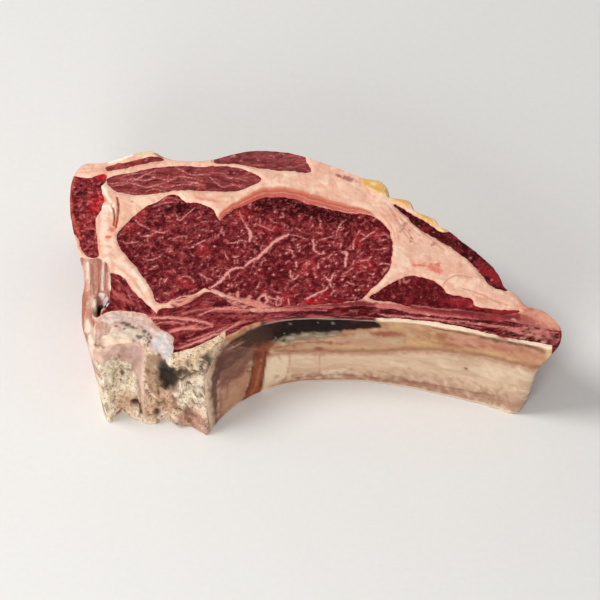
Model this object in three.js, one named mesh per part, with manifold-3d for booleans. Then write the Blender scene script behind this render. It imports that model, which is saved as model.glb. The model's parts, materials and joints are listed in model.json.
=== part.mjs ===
// A thick bone-in beef steak, sawn across one rib and lying on its lower cut face.
// Millimetres. +Z is up, +X runs from the backbone to the tip of the rib, and +Y points
// away from the rib. The origin is under the middle of the steak, on the face it rests on.

import * as THREE from 'three';
import { mergeVertices } from 'three/addons/utils/BufferGeometryUtils.js';
import Module from 'manifold-3d';

const wasm = await Module();
wasm.setup();

// Driving dimensions
const THICKNESS = 52; // from the lower cut face to the upper one
const GAP = 0.3; // clear space between neighbouring pieces
const PLEURA = 2.2; // the membrane that lines the inside of the ribs
const CARTILAGE_DEPTH = 18; // how far the cartilage cap reaches down into the backbone
const TOP_CHAMFER = { inset: 1.2, drop: 2 }; // soft upper edge of the cut
const BASE_CHAMFER = { inset: 0.6, rise: 1 };
const EDGE_ALLOWANCE = 0.8; // the outline below runs this far inside the widest point of the soft edge
const SIDE_BULGE = 2.4; // how far the soft outer side swells at half height
const RELIEF = { height: 0.7, cell: 6.5, waves: [17, 21, 13, 41] }; // rise and fall of the upper face
const SIDE_LEVELS = [0, BASE_CHAMFER.rise, 4, 10, 20, 31, 41, THICKNESS - TOP_CHAMFER.drop, THICKNESS + 1];
const OUTLINE_STEP = 4.6; // spacing of the points along the steak's edge
const SEAM_STEP = 5.2; // spacing of the points along a muscle's edge
const MITRE_LIMIT = 0.15; // keeps the mitre of a sharp tip short
const BELOW = -10; // cutting tools reach past the steak: down to here,
const ABOVE = THICKNESS + 10; // up to here
const AHEAD = -90; // and out in front to here

// Edge of the upper cut face, clockwise from the corner above the backbone
const EDGE = [
  [-124, 58.5], [-119, 65], [-109, 65.5], [-93, 71], [-85, 73], [-75.5, 67.5], [-64, 66], [-53, 67],
  [-41, 71], [-27, 73.5], [-12.5, 71.5], [2, 66], [16, 59.5], [26, 54.5], [33.5, 52.5], [37, 48],
  [37.5, 42.5], [48.5, 39.5], [51, 33.5], [61, 27.5], [64, 22.8], [68.5, 20.2], [74.5, 13.5], [85.5, 2.5],
  [93.5, -9], [96.5, -17], [102, -21.5], [107.5, -29], [115.5, -31.7], [122, -37.5], [125.3, -44],
  [122.5, -54.5], [108.5, -52], [88.5, -47], [68.5, -42], [48.5, -38], [23, -36], [-2, -36], [-17.5, -37.5],
  [-30, -41], [-40, -46.5], [-48.5, -51.5], [-54.5, -56.8], [-62.5, -58.5], [-71.5, -59], [-80, -56],
  [-90, -52.5], [-100, -52.5], [-108, -56], [-112.5, -52.5], [-116.5, -44.5], [-118, -25],
  [-117, -12.5], [-120, 4], [-123.5, 20], [-126, 40],
];

// How far the front wall comes out at the bottom: [x, distance]. The sawn backbone is uneven.
const FRONT_LEAN = [
  [-118, 0], [-112, 5], [-105, 9], [-98, 5], [-92, 9.5], [-85, 11], [-80, 9], [-75.5, 3], [-70.5, 6.5],
  [-63, 8], [-58, 12], [-54.5, 15.5], [-50, 12.5], [-45.5, 9.5], [-39, 6.5], [-30, 5], [-20, 4], [-7, 2.5],
  [23, 2], [39, 3.5], [60, 5], [80, 6], [95, 5.6], [108, 3.6], [122, 3.5],
];
const FRONT_ZONE = { from: -28, to: -40 }; // the front's lean fades in between these y values
// The rib's tip is cut back under the meat: [z, distance], fading in between two x values
const TIP_CUT = [
  [0, 19.5], [1, 18.5], [4, 17], [10, 15.2], [20, 13.3], [31, 11.4], [38, 7.4], [45, 3.4], [52, 0],
];
const TIP_ZONE = { from: 80, to: 122 };
// The backbone's outer side slopes in under the meat
const LEFT_ZONE = { from: -98, to: -117, lean: [[-58, 4.5], [-42, 8.5], [-30, 9.5]] };
// The saw tore the backbone's front: uneven by so much, between these x values
const CRAG = { depth: 1.3, from: -110, to: -56, along: [0.9, 0.5], across: [0.31, -0.24] };

// The rib from the side: height of its upper edge along x. It fills the whole height at its head.
const RIB_TOP = [
  [-80, 60], [-49, 60], [-45, 51], [-41, 44], [-32, 36], [-20, 28], [-7, 24.8], [14, 24.2], [33, 25],
  [50, 29.5], [64, 32.5], [88, 35], [104, 35.2], [111, 34], [114.5, 30.5],
];
// The rib from above: its back edge, from head to tip
const RIB_BACK = [
  [-73, -58.5], [-61.5, -54.8], [-50.5, -48.6], [-40, -40], [-28, -32.5], [-14, -28.2], [4, -26.5],
  [23, -27], [40, -29.6], [60, -34], [80, -39.4], [95, -43.4], [108, -46.5], [130, -50],
];

// The stretch of the front wall that the membrane lines
const PLEURA_ZONE = [[-46, AHEAD], [119.5, AHEAD], [119.5, -48], [100, -44], [60, -34], [-46, -30]];

// Muscles and other tissue, as the upper cut face shows them
const RIB_EYE = [
  [-49, 25.5], [-42, 33.5], [-33, 38.5], [-24.5, 42.5], [-12.5, 42], [0.5, 37.5], [16, 33], [31, 29.5],
  [37, 23], [40, 11.5], [39.5, 2], [37.5, -7], [30.5, -15.5], [24, -23.5], [13, -26.5], [-2, -28],
  [-17.5, -29], [-30, -29], [-40, -24], [-50.5, -19], [-56.5, -16], [-54, -2.5], [-52, 11.5],
];
const EYE_LOBE = [
  [-45, 21], [-49.5, 28], [-52, 34], [-58.5, 38.5], [-66.5, 40], [-70, 44], [-75, 44], [-80, 40],
  [-86.5, 36.5], [-93, 29.5], [-97.5, 24], [-101, 18.5], [-99.5, 10.5], [-94, 2], [-87, -9.5],
  [-82, -20], [-79, -27], [-70.5, -25], [-62, -22], [-55.5, -17.5], [-50, -14], [-46, 0],
];
const CAP = [
  [-106.5, 54.5], [-96, 58], [-83, 61.5], [-72, 63], [-56, 63], [-44.5, 63.8], [-34, 60.5], [-27, 54.5],
  [-33, 49.5], [-40, 46.5], [-55.5, 46.5], [-69, 47], [-84.5, 44], [-95.5, 44], [-104, 47.5],
];
const BACK_STRIP = [
  [-52, 66], [-46, 74], [-27, 84], [-8, 80], [-4, 66], [-1.5, 59.5], [-12.5, 60], [-27, 62], [-41, 65.2],
];
const CORNER_STRIP = [
  [-107.5, 62.8], [-97, 66], [-88, 69], [-80, 69.4], [-77.2, 67], [-84, 65.6], [-92, 63.6], [-101, 60.8],
  [-107, 60.2],
];
const CHINE_MUSCLE = [
  [-138, 56.5], [-115.5, 55.5], [-108.5, 58], [-107, 54], [-109.5, 49.5], [-108, 42], [-109, 35],
  [-111.5, 29], [-112, 21], [-110.5, 12.5], [-110.5, 3.5], [-115, 3], [-119, 9], [-122, 18], [-138, 22],
];
const OUTER_STRIP = [
  [41, 37.6], [50.5, 31.6], [62.5, 22.2], [67, 19.4], [76, 24], [94, 6], [106, -14], [97, -19], [89, -15.5],
  [84.5, -8], [77, 2.5], [67.5, 11.5], [56.5, 19.5], [48, 29],
];
const FLANK_MUSCLE = [
  [28, -23], [33.5, -17.5], [40.5, -12.5], [48.5, -9], [58, -11], [64.5, -15.5], [67, -20], [80, -24.5],
  [81, -28.5], [91.5, -30.5], [104, -31.5], [98, -33.6], [79.5, -32], [63.5, -30.7], [49.5, -28.5],
  [38.5, -25.5],
];
const INNER_WEDGE = [
  [-103, -7], [-97.5, -9.5], [-91.5, -19], [-85, -27], [-79.5, -35.5], [-84, -38], [-93, -36], [-108, -33],
  [-108, -19],
];
const RIB_MEAT = [
  [-78, -31], [-69, -29], [-60.5, -25], [-55, -19.8], [-47.5, -22.6], [-38.5, -27.6], [-29.5, -32],
  [-15, -32], [3, -31], [24, -28], [38.5, -29.6], [49.5, -32.4], [63.5, -35], [79.5, -36.3], [97.5, -38],
  [106, -39.7], [116, -42], [136, -50], [136, -84], [-40, -84], [-74, -84], [-86, -56], [-88, -42],
  [-81, -36.5],
];
const CARTILAGE = [
  [-108.5, -35], [-103, -31.5], [-94, -31.5], [-86.5, -33.5], [-82, -38], [-77.5, -43], [-71.5, -47.5],
  [-71, -54], [-72, -66], [-80, -68], [-83, -53], [-84.5, -48], [-89, -44], [-95, -41.5], [-101, -42.5],
  [-105, -46], [-110, -51], [-110, -42],
];
const BACKBONE = [
  [-108.5, -35], [-103, -31.5], [-94, -31.5], [-86.5, -33.5], [-82, -38], [-77.5, -43], [-71.5, -47.5],
  [-71, -54], [-73.5, -59], [-75.5, -90], [-140, -90], [-140, -53], [-111, -53], [-110, -42],
];
const LIGAMENT = [
  [-138, 0], [-113, 2], [-109.5, 2.5], [-106, -0.5], [-104, -7], [-103.5, -19], [-104, -27],
  [-108.5, -32.5], [-110.5, -40.5], [-109.5, -51], [-113, -58], [-138, -58],
];

// Holes, broken places and one smooth hollow in the sawn bone: [x, y, z, radius]
const PITS = [
  [-91, -80.5, 40, 27.5], [-75, -62.5, 35, 4.6], [-91, -61, 11, 3.8], [-80.5, -65, 11, 2.8],
  [-98.5, -58.6, 28, 2.8],
  [-56.5, -61.4, 46, 2.8], [-66, -61.8, 41, 2.4], [-84, -64, 24, 2.6], [-103, -62, 9, 3],
];
const TORN_HOLES = [[-107.5, -24.5, 53, 4], [-110.5, -33, 53, 3]];
const WIDE_HOLLOW = 10;

const { lerp, smoothstep } = THREE.MathUtils;

// Reads a table of [position, value] rows at any position.
const along = (table, x) => {
  const after = table.findIndex(([position]) => x <= position);
  if (after === 0) {
    return table[0][1];
  }
  if (after < 0) {
    return table[table.length - 1][1];
  }
  const [x0, y0] = table[after - 1];
  const [x1, y1] = table[after];
  return lerp(y0, y1, (x - x0) / (x1 - x0));
};

const corners = (points) => points.map(([x, y]) => new THREE.Vector2(x, y));

// A smooth closed curve through the points, divided into even steps.
const smoothLoop = (points, step) => {
  const curve = new THREE.CatmullRomCurve3(points.map(([x, y]) => new THREE.Vector3(x, y, 0)), true);
  const count = Math.round(curve.getLength() / step);
  return curve.getSpacedPoints(count).slice(0, count).map((p) => new THREE.Vector2(p.x, p.y));
};

// Pushes a loop outwards by a distance, which may differ from point to point. Corners are mitred.
const pushOut = (loop, distance) => {
  const turn = THREE.ShapeUtils.area(loop) > 0 ? 1 : -1;
  const outward = (from, to) => {
    const run = to.clone().sub(from).normalize();
    return new THREE.Vector2(run.y, -run.x).multiplyScalar(turn);
  };
  return loop.map((p, i) => {
    const before = outward(loop[(i + loop.length - 1) % loop.length], p);
    const after = outward(p, loop[(i + 1) % loop.length]);
    const mitre = before.clone().add(after).divideScalar(Math.max(MITRE_LIMIT, 1 + before.dot(after)));
    return p.clone().addScaledVector(mitre, typeof distance === 'number' ? distance : distance(p));
  });
};

const solidOf = (geometry) => {
  geometry.deleteAttribute('normal');
  geometry.deleteAttribute('uv');
  const merged = mergeVertices(geometry, 1e-4);
  return new wasm.Manifold(new wasm.Mesh({
    numProp: 3,
    vertProperties: new Float32Array(merged.attributes.position.array),
    triVerts: new Uint32Array(merged.index.array),
  }));
};

const prism = (loop, low, high) => {
  const column = { depth: high - low, bevelEnabled: false };
  return solidOf(new THREE.ExtrudeGeometry(new THREE.Shape(loop), column).translate(0, 0, low));
};

// Skins a stack of loops that all have the same number of points.
const loft = (rings) => {
  const count = rings[0].length;
  const positions = rings.flatMap((ring) => ring.flatMap((p) => [p.x, p.y, p.z]));
  const index = [];
  for (let level = 0; level + 1 < rings.length; level += 1) {
    for (let i = 0; i < count; i += 1) {
      const a = level * count + i;
      const b = level * count + ((i + 1) % count);
      index.push(a, b, b + count, a, b + count, a + count);
    }
  }
  const top = (rings.length - 1) * count;
  const flat = (ring) => THREE.ShapeUtils.triangulateShape(ring.map((p) => new THREE.Vector2(p.x, p.y)), []);
  flat(rings[0]).forEach(([a, b, c]) => index.push(a, c, b));
  flat(rings[rings.length - 1]).forEach(([a, b, c]) => index.push(top + a, top + b, top + c));
  const geometry = new THREE.BufferGeometry();
  geometry.setAttribute('position', new THREE.Float32BufferAttribute(positions, 3));
  geometry.setIndex(index);
  return solidOf(geometry);
};

// The steak's outer side at one height: it leans, swells and is softly chamfered.
const sideRing = (edge, z) => {
  const low = 1 - z / THICKNESS;
  const middle = Math.max(0, Math.sin(Math.PI * low));
  const topInset = TOP_CHAMFER.inset * Math.max(0, 1 - (THICKNESS - z) / TOP_CHAMFER.drop);
  const baseInset = BASE_CHAMFER.inset * Math.max(0, 1 - z / BASE_CHAMFER.rise);
  const front = (p) => smoothstep(-p.y, -FRONT_ZONE.from, -FRONT_ZONE.to);
  const left = (p) => smoothstep(-p.x, -LEFT_ZONE.from, -LEFT_ZONE.to);
  const soft = (p) => (1 - front(p)) * (1 - left(p));
  const swell = (p) => soft(p) * (EDGE_ALLOWANCE + SIDE_BULGE * middle) - topInset - baseInset;
  const wave = ([perX, perZ], p) => Math.sin(p.x * perX + z * perZ);
  const torn = (p) => p.x > CRAG.from && p.x < CRAG.to;
  const crag = (p) => (torn(p) ? CRAG.depth * middle * wave(CRAG.along, p) * wave(CRAG.across, p) : 0);
  return pushOut(edge, swell).map((p, i) => {
    const source = edge[i];
    const tip = smoothstep(source.x, TIP_ZONE.from, TIP_ZONE.to) * along(TIP_CUT, z);
    return new THREE.Vector3(
      p.x - tip + left(source) * along(LEFT_ZONE.lean, source.y) * low,
      p.y - front(source) * (along(FRONT_LEAN, source.x) * low + crag(source)),
      z,
    );
  });
};

const reliefAt = (x, y) => {
  const [a, b, c, d] = RELIEF.waves;
  return THICKNESS - RELIEF.height * (1 - Math.sin(x / a + Math.sin(y / b)) * Math.cos(y / c - x / d));
};

// Everything within the steak's outer side, from the base up past the upper face
const withinSide = () => {
  const edge = smoothLoop(EDGE, OUTLINE_STEP).reverse();
  return loft(SIDE_LEVELS.map((z) => sideRing(edge, z)));
};

// Everything below the uneven upper face
const belowFace = () => {
  const size = { x: 286, y: 176, z: 80 };
  const columns = Math.round(size.x / RELIEF.cell);
  const rows = Math.round(size.y / RELIEF.cell);
  const box = new THREE.BoxGeometry(size.x, size.y, size.z, columns, rows, 1);
  const spots = box.attributes.position;
  for (let i = 0; i < spots.count; i += 1) {
    const top = spots.getZ(i) > 0;
    spots.setZ(i, top ? reliefAt(spots.getX(i), spots.getY(i)) : THICKNESS - size.z);
  }
  return solidOf(box);
};

const sides = withinSide();
const steak = sides.intersect(belowFace());

// Each piece is a tool that is laid over the steak. grow widens the tool, to clear its neighbours.
const column = (points, low = BELOW) => (grow) => (
  prism(pushOut(smoothLoop(points, SEAM_STEP), grow), low - grow, ABOVE)
);

// A rib is what its side view and its view from above have in common.
const rib = (grow) => {
  const [head, tip] = [RIB_TOP[0][0], RIB_BACK[RIB_BACK.length - 1][0]];
  const tipTop = RIB_TOP[RIB_TOP.length - 1][1];
  const sideView = corners([[head, BELOW], [tip, BELOW], [tip, tipTop], ...RIB_TOP.slice().reverse()]);
  const side = new THREE.ExtrudeGeometry(
    new THREE.Shape(pushOut(sideView, grow)),
    { depth: -AHEAD, bevelEnabled: false },
  ).rotateX(Math.PI / 2);
  const plan = corners([...RIB_BACK, [tip, AHEAD], [RIB_BACK[0][0], AHEAD]]);
  return solidOf(side).intersect(prism(pushOut(plan, grow), BELOW, ABOVE));
};

// The membrane is the outermost layer of the front wall, above the rib.
const pleura = (grow) => {
  const zone = prism(pushOut(corners(PLEURA_ZONE), grow), BELOW, ABOVE);
  return zone.subtract(sides.translate([0, PLEURA + grow, 0]));
};

// A wide hollow has finer facets than a small pit.
const dent = ([x, y, z, radius]) => {
  const detail = radius > WIDE_HOLLOW ? 5 : 1;
  return solidOf(new THREE.IcosahedronGeometry(radius, detail).translate(x, y, z));
};

const CARTILAGE_LOOK = { color: 0xe6dcd4, roughness: 0.4 };
const MUSCLE = { color: 0x7d2a31, roughness: 0.45 };
const PALE_MUSCLE = { color: 0x8c4247, roughness: 0.45 };
const FAT = { color: 0xeecdb0, roughness: 0.5 };
const BONE = { color: 0xcfb491, roughness: 0.7 };

// In order: where two pieces meet, the earlier one keeps the room.
const PIECES = [
  { name: 'rib_bone', tool: rib, look: BONE, dents: PITS },
  { name: 'pleura', tool: pleura, look: { color: 0xa98263, roughness: 0.35 } },
  { name: 'cartilage', tool: column(CARTILAGE, THICKNESS - CARTILAGE_DEPTH), look: CARTILAGE_LOOK },
  { name: 'backbone', tool: column(BACKBONE), look: { color: 0xc9b48e, roughness: 0.8 }, dents: PITS },
  { name: 'ligament', tool: column(LIGAMENT), look: { color: 0xdcb497, roughness: 0.5 }, dents: TORN_HOLES },
  { name: 'rib_eye', tool: column(RIB_EYE), look: MUSCLE },
  { name: 'eye_lobe', tool: column(EYE_LOBE), look: MUSCLE },
  { name: 'cap_muscle', tool: column(CAP), look: PALE_MUSCLE },
  { name: 'back_strip', tool: column(BACK_STRIP), look: PALE_MUSCLE },
  { name: 'corner_strip', tool: column(CORNER_STRIP), look: PALE_MUSCLE },
  { name: 'chine_muscle', tool: column(CHINE_MUSCLE), look: MUSCLE },
  { name: 'outer_strip', tool: column(OUTER_STRIP), look: MUSCLE },
  { name: 'flank_muscle', tool: column(FLANK_MUSCLE), look: MUSCLE },
  { name: 'inner_wedge', tool: column(INNER_WEDGE), look: MUSCLE },
  { name: 'rib_meat', tool: column(RIB_MEAT), look: MUSCLE },
  { name: 'fat', tool: null, look: FAT },
];

// Keeps the largest closed body and drops loose scraps.
const largest = (solid) => {
  const bodies = solid.decompose();
  return bodies.reduce((best, body) => (body.volume() > best.volume() ? body : best), bodies[0]);
};

const meshOf = (name, solid, look) => {
  const { vertProperties, triVerts } = solid.getMesh();
  const geometry = new THREE.BufferGeometry();
  geometry.setAttribute('position', new THREE.BufferAttribute(vertProperties, 3));
  geometry.setIndex(new THREE.BufferAttribute(triVerts, 1));
  const mesh = new THREE.Mesh(geometry, new THREE.MeshStandardMaterial({ metalness: 0, ...look }));
  mesh.name = name;
  return mesh;
};

const group = new THREE.Group();
let rest = steak;
for (const { name, tool, look, dents = [] } of PIECES) {
  let solid = tool ? rest.intersect(tool(0)) : rest;
  for (const spot of dents) {
    solid = solid.subtract(dent(spot));
  }
  group.add(meshOf(name, largest(solid), look));
  if (tool) {
    rest = rest.subtract(tool(GAP));
  }
}

// The outlines are measured from a point a little off the middle of the steak.
const { min, max } = steak.boundingBox();
group.position.set(-(min[0] + max[0]) / 2, -(min[1] + max[1]) / 2, 0);

export default group;
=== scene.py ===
"""A thick raw beef steak on its rib, with sawn backbone at one end, lying on its lower cut face."""

import json
import math

import bmesh
import bpy
import numpy as np
from mathutils import Matrix, Vector, kdtree, noise


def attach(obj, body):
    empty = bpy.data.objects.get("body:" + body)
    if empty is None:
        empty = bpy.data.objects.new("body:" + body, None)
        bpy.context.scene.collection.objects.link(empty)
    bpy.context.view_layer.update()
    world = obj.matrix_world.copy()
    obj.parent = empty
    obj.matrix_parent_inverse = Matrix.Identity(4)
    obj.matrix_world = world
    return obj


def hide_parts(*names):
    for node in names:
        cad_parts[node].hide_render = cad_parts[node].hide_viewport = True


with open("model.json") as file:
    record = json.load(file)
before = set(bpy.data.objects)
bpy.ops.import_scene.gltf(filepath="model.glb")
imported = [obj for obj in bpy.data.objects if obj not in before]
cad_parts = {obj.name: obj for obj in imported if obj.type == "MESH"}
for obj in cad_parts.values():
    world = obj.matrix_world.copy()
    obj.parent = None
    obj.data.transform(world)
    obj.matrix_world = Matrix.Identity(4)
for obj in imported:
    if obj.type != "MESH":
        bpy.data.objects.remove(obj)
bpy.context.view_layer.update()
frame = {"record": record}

# Sizes, in millimetres. The outlines are measured from a point a little off the steak's middle.
MM = 0.001
MIDDLE = (-0.652, 2.356)
THICKNESS = 52.0
MEMBRANE = 1.5  # thickness of the membrane that lines the rib's inner side
CARTILAGE_DEPTH = 18.0
TOP_CHAMFER = {"inset": 1.2, "drop": 2}
BASE_CHAMFER = {"inset": 0.6, "rise": 1}
EDGE_ALLOWANCE = 0.8
SIDE_BULGE = 2.4
RELIEF = {"height": 0.7, "waves": (17, 21, 13, 41)}
WALL_STEP = 0.9  # spacing of points round the steak's edge
WALL_LEVELS = [0, 0.4, 1, 1.9] + [3 + 0.95 * i for i in range(50)] + [50.2, 50.7, 51.2, 51.7, 52.3, 53, 54]
TOP_CELL = 0.5  # spacing of points on the upper cut face
BASE_CELL = 1.6
SEAM_STEP = 0.9  # spacing of points along the edge of a muscle
RIB_STEP = 1.2  # spacing of points along the top of the rib
BELOW = -10.0  # where cutting tools end: under the steak
ABOVE = THICKNESS + 10  # over it
AHEAD = -90.0  # and in front of it
BLOCK_RISE = 80.0  # height of the cutting blocks
PIECE_MARGIN = 8.0  # how far the cutting blocks reach past the steak
LEAN_ROOM = 16.0  # and how much further on the sides that lean outwards
SHARP_ANGLE = math.radians(50)
# Uneven ground. Each row is its height, the size of its lumps, the octaves of detail and the seed.
SEAM_WAVES = [(0.55, 5, 2, 0), (0.3, 1.9, 2, 7)]
VEIN_WAVES = [(0.6, 5, 2, 0), (0.4, 1.5, 2, 3)]
SIDE_LUMPS = [(0.55, 9, 3, 5.1), (0.25, 2.6, 2, 8.3)]
FRONT_LUMPS = [(0.22, 5, 3, 2.2)]
FACE_LUMPS = [(0.3, 8, 2, 1.2), (0.2, 2.4, 3, 6.6)]
RIB_WAVES = [(0.35, 7, 2, 4)]
# Heights and widths of the fine detail of the upper cut face
FACE = {
    "step": 0.3, "step_width": 2.2, "groove": 0.3, "groove_width": 0.8, "fold": 0.3, "crevice": 1.2,
    "flake": 0.5, "bone": 0.7, "hole": 5, "sinew": 1.1, "highest": 1,
}

# The steak's edge, as seen from above
EDGE = [
    (-124, 58.5), (-119, 65), (-109, 65.5), (-93, 71), (-85, 73), (-75.5, 67.5), (-64, 66), (-53, 67),
    (-41, 71), (-27, 73.5), (-12.5, 71.5), (2, 66), (16, 59.5), (26, 54.5), (33.5, 52.5), (37, 48),
    (37.5, 42.5), (48.5, 39.5), (51, 33.5), (61, 27.5), (64, 22.8), (68.5, 20.2), (74.5, 13.5), (85.5, 2.5),
    (93.5, -9), (96.5, -17), (102, -21.5), (107.5, -29), (115.5, -31.7), (122, -37.5), (125.3, -44),
    (122.5, -54.5), (108.5, -52), (88.5, -47), (68.5, -42), (48.5, -38), (23, -36), (-2, -36),
    (-17.5, -37.5), (-30, -41), (-40, -46.5), (-48.5, -51.5), (-54.5, -56.8), (-62.5, -58.5), (-71.5, -59),
    (-80, -56), (-90, -52.5), (-100, -52.5), (-108, -56), (-112.5, -52.5), (-116.5, -44.5), (-118, -25),
    (-117, -12.5), (-120, 4), (-123.5, 20), (-126, 40),
]

# How far the front wall comes out at the bottom, along x
FRONT_LEAN = [
    (-118, 0), (-112, 5), (-105, 9), (-98, 5), (-92, 9.5), (-85, 11), (-80, 9), (-75.5, 3), (-70.5, 6.5),
    (-63, 8), (-58, 12), (-54.5, 15.5), (-50, 12.5), (-45.5, 9.5), (-39, 6.5), (-30, 5), (-20, 4),
    (-7, 2.5), (23, 2), (39, 3.5), (60, 5), (80, 6), (95, 5.6), (108, 3.6), (122, 3.5),
]
FRONT_ZONE = (28, 40)  # how far in front of the middle the front wall begins
# How far the rib's end is set back at each height, and where along x that begins
TIP_CUT = [(0, 19.5), (1, 18.5), (4, 17), (10, 15.2), (20, 13.3), (31, 11.4), (38, 7.4), (45, 3.4), (52, 0)]
TIP_ZONE = (80, 122)
# How far the left side goes in at the bottom, along y, and how far left of the middle it begins
LEFT_LEAN = [(-58, 4.5), (-42, 8.5), (-30, 9.5)]
LEFT_ZONE = (98, 117)
SAWN_ZONE = [(-113, -108), (-59, -54)]  # between these the front wall is sawn bone
ROUGH_ZONE = [(0, 3), (49.5, 52)]  # heights between which the steak's edge is uneven
BREAK_DEPTH = 3.0  # how far the lumps of the sawn bone stand out
CRAG = {"depth": 1.3, "from": -110, "to": -56, "along": (0.9, 0.5), "across": (0.31, -0.24)}

# The rib: its top as seen from the front, and its back edge as seen from above
RIB_TOP = [
    (-80, 60), (-49, 60), (-45, 51), (-41, 44), (-32, 36), (-20, 28), (-7, 24.8), (14, 24.2), (33, 25),
    (50, 29.5), (64, 32.5), (88, 35), (104, 35.2), (111, 34), (114.5, 30.5),
]
RIB_BACK = [
    (-73, -58.5), (-61.5, -54.8), (-50.5, -48.6), (-40, -40), (-28, -32.5), (-14, -28.2), (4, -26.5),
    (23, -27), (40, -29.6), (60, -34), (80, -39.4), (95, -43.4), (108, -46.5), (130, -50),
]
MEMBRANE_ZONE = [(-46, AHEAD), (119.5, AHEAD), (119.5, -48), (100, -44), (60, -34), (-46, -30)]

# Muscles and other tissue, as the upper cut face shows them
RIB_EYE = [
    (-49, 25.5), (-42, 33.5), (-33, 38.5), (-24.5, 42.5), (-12.5, 42), (0.5, 37.5), (16, 33), (31, 29.5),
    (37, 23), (40, 11.5), (39.5, 2), (37.5, -7), (30.5, -15.5), (24, -23.5), (13, -26.5), (-2, -28),
    (-17.5, -29), (-30, -29), (-40, -24), (-50.5, -19), (-56.5, -16), (-54, -2.5), (-52, 11.5),
]
EYE_LOBE = [
    (-45, 21), (-49.5, 28), (-52, 34), (-58.5, 38.5), (-66.5, 40), (-70, 44), (-75, 44), (-80, 40),
    (-86.5, 36.5), (-93, 29.5), (-97.5, 24), (-101, 18.5), (-99.5, 10.5), (-94, 2), (-87, -9.5), (-82, -20),
    (-79, -27), (-70.5, -25), (-62, -22), (-55.5, -17.5), (-50, -14), (-46, 0),
]
CAP = [
    (-106.5, 54.5), (-96, 58), (-83, 61.5), (-72, 63), (-56, 63), (-44.5, 63.8), (-34, 60.5), (-27, 54.5),
    (-33, 49.5), (-40, 46.5), (-55.5, 46.5), (-69, 47), (-84.5, 44), (-95.5, 44), (-104, 47.5),
]
BACK_STRIP = [
    (-52, 66), (-46, 74), (-27, 84), (-8, 80), (-4, 66), (-1.5, 59.5), (-12.5, 60), (-27, 62), (-41, 65.2),
]
CORNER_STRIP = [
    (-107.5, 62.8), (-97, 66), (-88, 69), (-80, 69.4), (-77.2, 67), (-84, 65.6), (-92, 63.6), (-101, 60.8),
    (-107, 60.2),
]
CHINE_MUSCLE = [
    (-138, 56.5), (-115.5, 55.5), (-108.5, 58), (-107, 54), (-109.5, 49.5), (-108, 42), (-109, 35),
    (-111.5, 29), (-112, 21), (-110.5, 12.5), (-110.5, 3.5), (-115, 3), (-119, 9), (-122, 18), (-138, 22),
]
OUTER_STRIP = [
    (41, 37.6), (50.5, 31.6), (62.5, 22.2), (67, 19.4), (76, 24), (94, 6), (106, -14), (97, -19),
    (89, -15.5), (84.5, -8), (77, 2.5), (67.5, 11.5), (56.5, 19.5), (48, 29),
]
FLANK_MUSCLE = [
    (28, -23), (33.5, -17.5), (40.5, -12.5), (48.5, -9), (58, -11), (64.5, -15.5), (67, -20), (80, -24.5),
    (81, -28.5), (91.5, -30.5), (104, -31.5), (98, -33.6), (79.5, -32), (63.5, -30.7), (49.5, -28.5),
    (38.5, -25.5),
]
INNER_WEDGE = [
    (-103, -7), (-97.5, -9.5), (-91.5, -19), (-85, -27), (-79.5, -35.5), (-84, -38), (-93, -36),
    (-108, -33), (-108, -19),
]
RIB_MEAT = [
    (-78, -31), (-69, -29), (-60.5, -25), (-55, -19.8), (-47.5, -22.6), (-38.5, -27.6), (-29.5, -32),
    (-15, -32), (3, -31), (24, -28), (38.5, -29.6), (49.5, -32.4), (63.5, -35), (79.5, -36.3), (97.5, -38),
    (106, -39.7), (116, -42), (136, -50), (136, -84), (-40, -84), (-74, -84), (-86, -56), (-88, -42),
    (-81, -36.5),
]
BONE_BACK = [
    (-108.5, -35), (-103, -31.5), (-94, -31.5), (-86.5, -33.5), (-82, -38), (-77.5, -43), (-71.5, -47.5),
    (-71, -54),
]
CARTILAGE = [
    *BONE_BACK, (-72, -66), (-80, -68), (-83, -53), (-84.5, -48), (-89, -44), (-95, -41.5), (-101, -42.5),
    (-105, -46), (-110, -51), (-110, -42),
]
BACKBONE = [*BONE_BACK, (-71, -59), (-71, -90), (-140, -90), (-140, -53), (-111, -53), (-110, -42)]
LIGAMENT = [
    (-138, 0), (-113, 2), (-109.5, 2.5), (-106, -0.5), (-104, -7), (-103.5, -19), (-104, -27),
    (-108.5, -32.5), (-110.5, -40.5), (-109.5, -51), (-113, -58), (-138, -58),
]

# Holes and broken places in the sawn bone, and one wide smooth hollow: x, y, z, radius
SMOOTH_HOLLOW = (-91, -80.5, 40, 27.5)
PITS = [
    (-75.6, -60.5, 33.5, 4.9), (-91, -61, 11, 3.4), (-80.5, -65, 11, 2.6), (-98.5, -58.6, 28, 2.2),
    (-56.5, -60.4, 45, 2.8), (-66, -61.2, 40, 2.6), (-84, -64, 24, 2.2), (-103, -62, 9, 2.6),
    (-62, -61.5, 42, 1.8), (-97, -54, 40, 1.5), (-97.2, -54.6, 33, 1.2),
]
TORN_HOLES = [(-107.5, -24.5, 52.5, 3.2), (-109.8, -31.5, 52.5, 2.6), (-108.4, -28, 52.5, 1.8)]


# Outlines and distances

def along(table, x):
    """Reads a table of (position, value) rows at the positions in x."""
    rows = np.array(table, float)
    return np.interp(x, rows[:, 0], rows[:, 1])


def smoothstep(x, low, high):
    t = np.clip((x - low) / (high - low), 0, 1)
    return t * t * (3 - 2 * t)


def between(x, rise, fall):
    """1 between two soft ends: it rises over the first range and falls over the second."""
    return smoothstep(x, *rise) * (1 - smoothstep(x, *fall))


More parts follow.
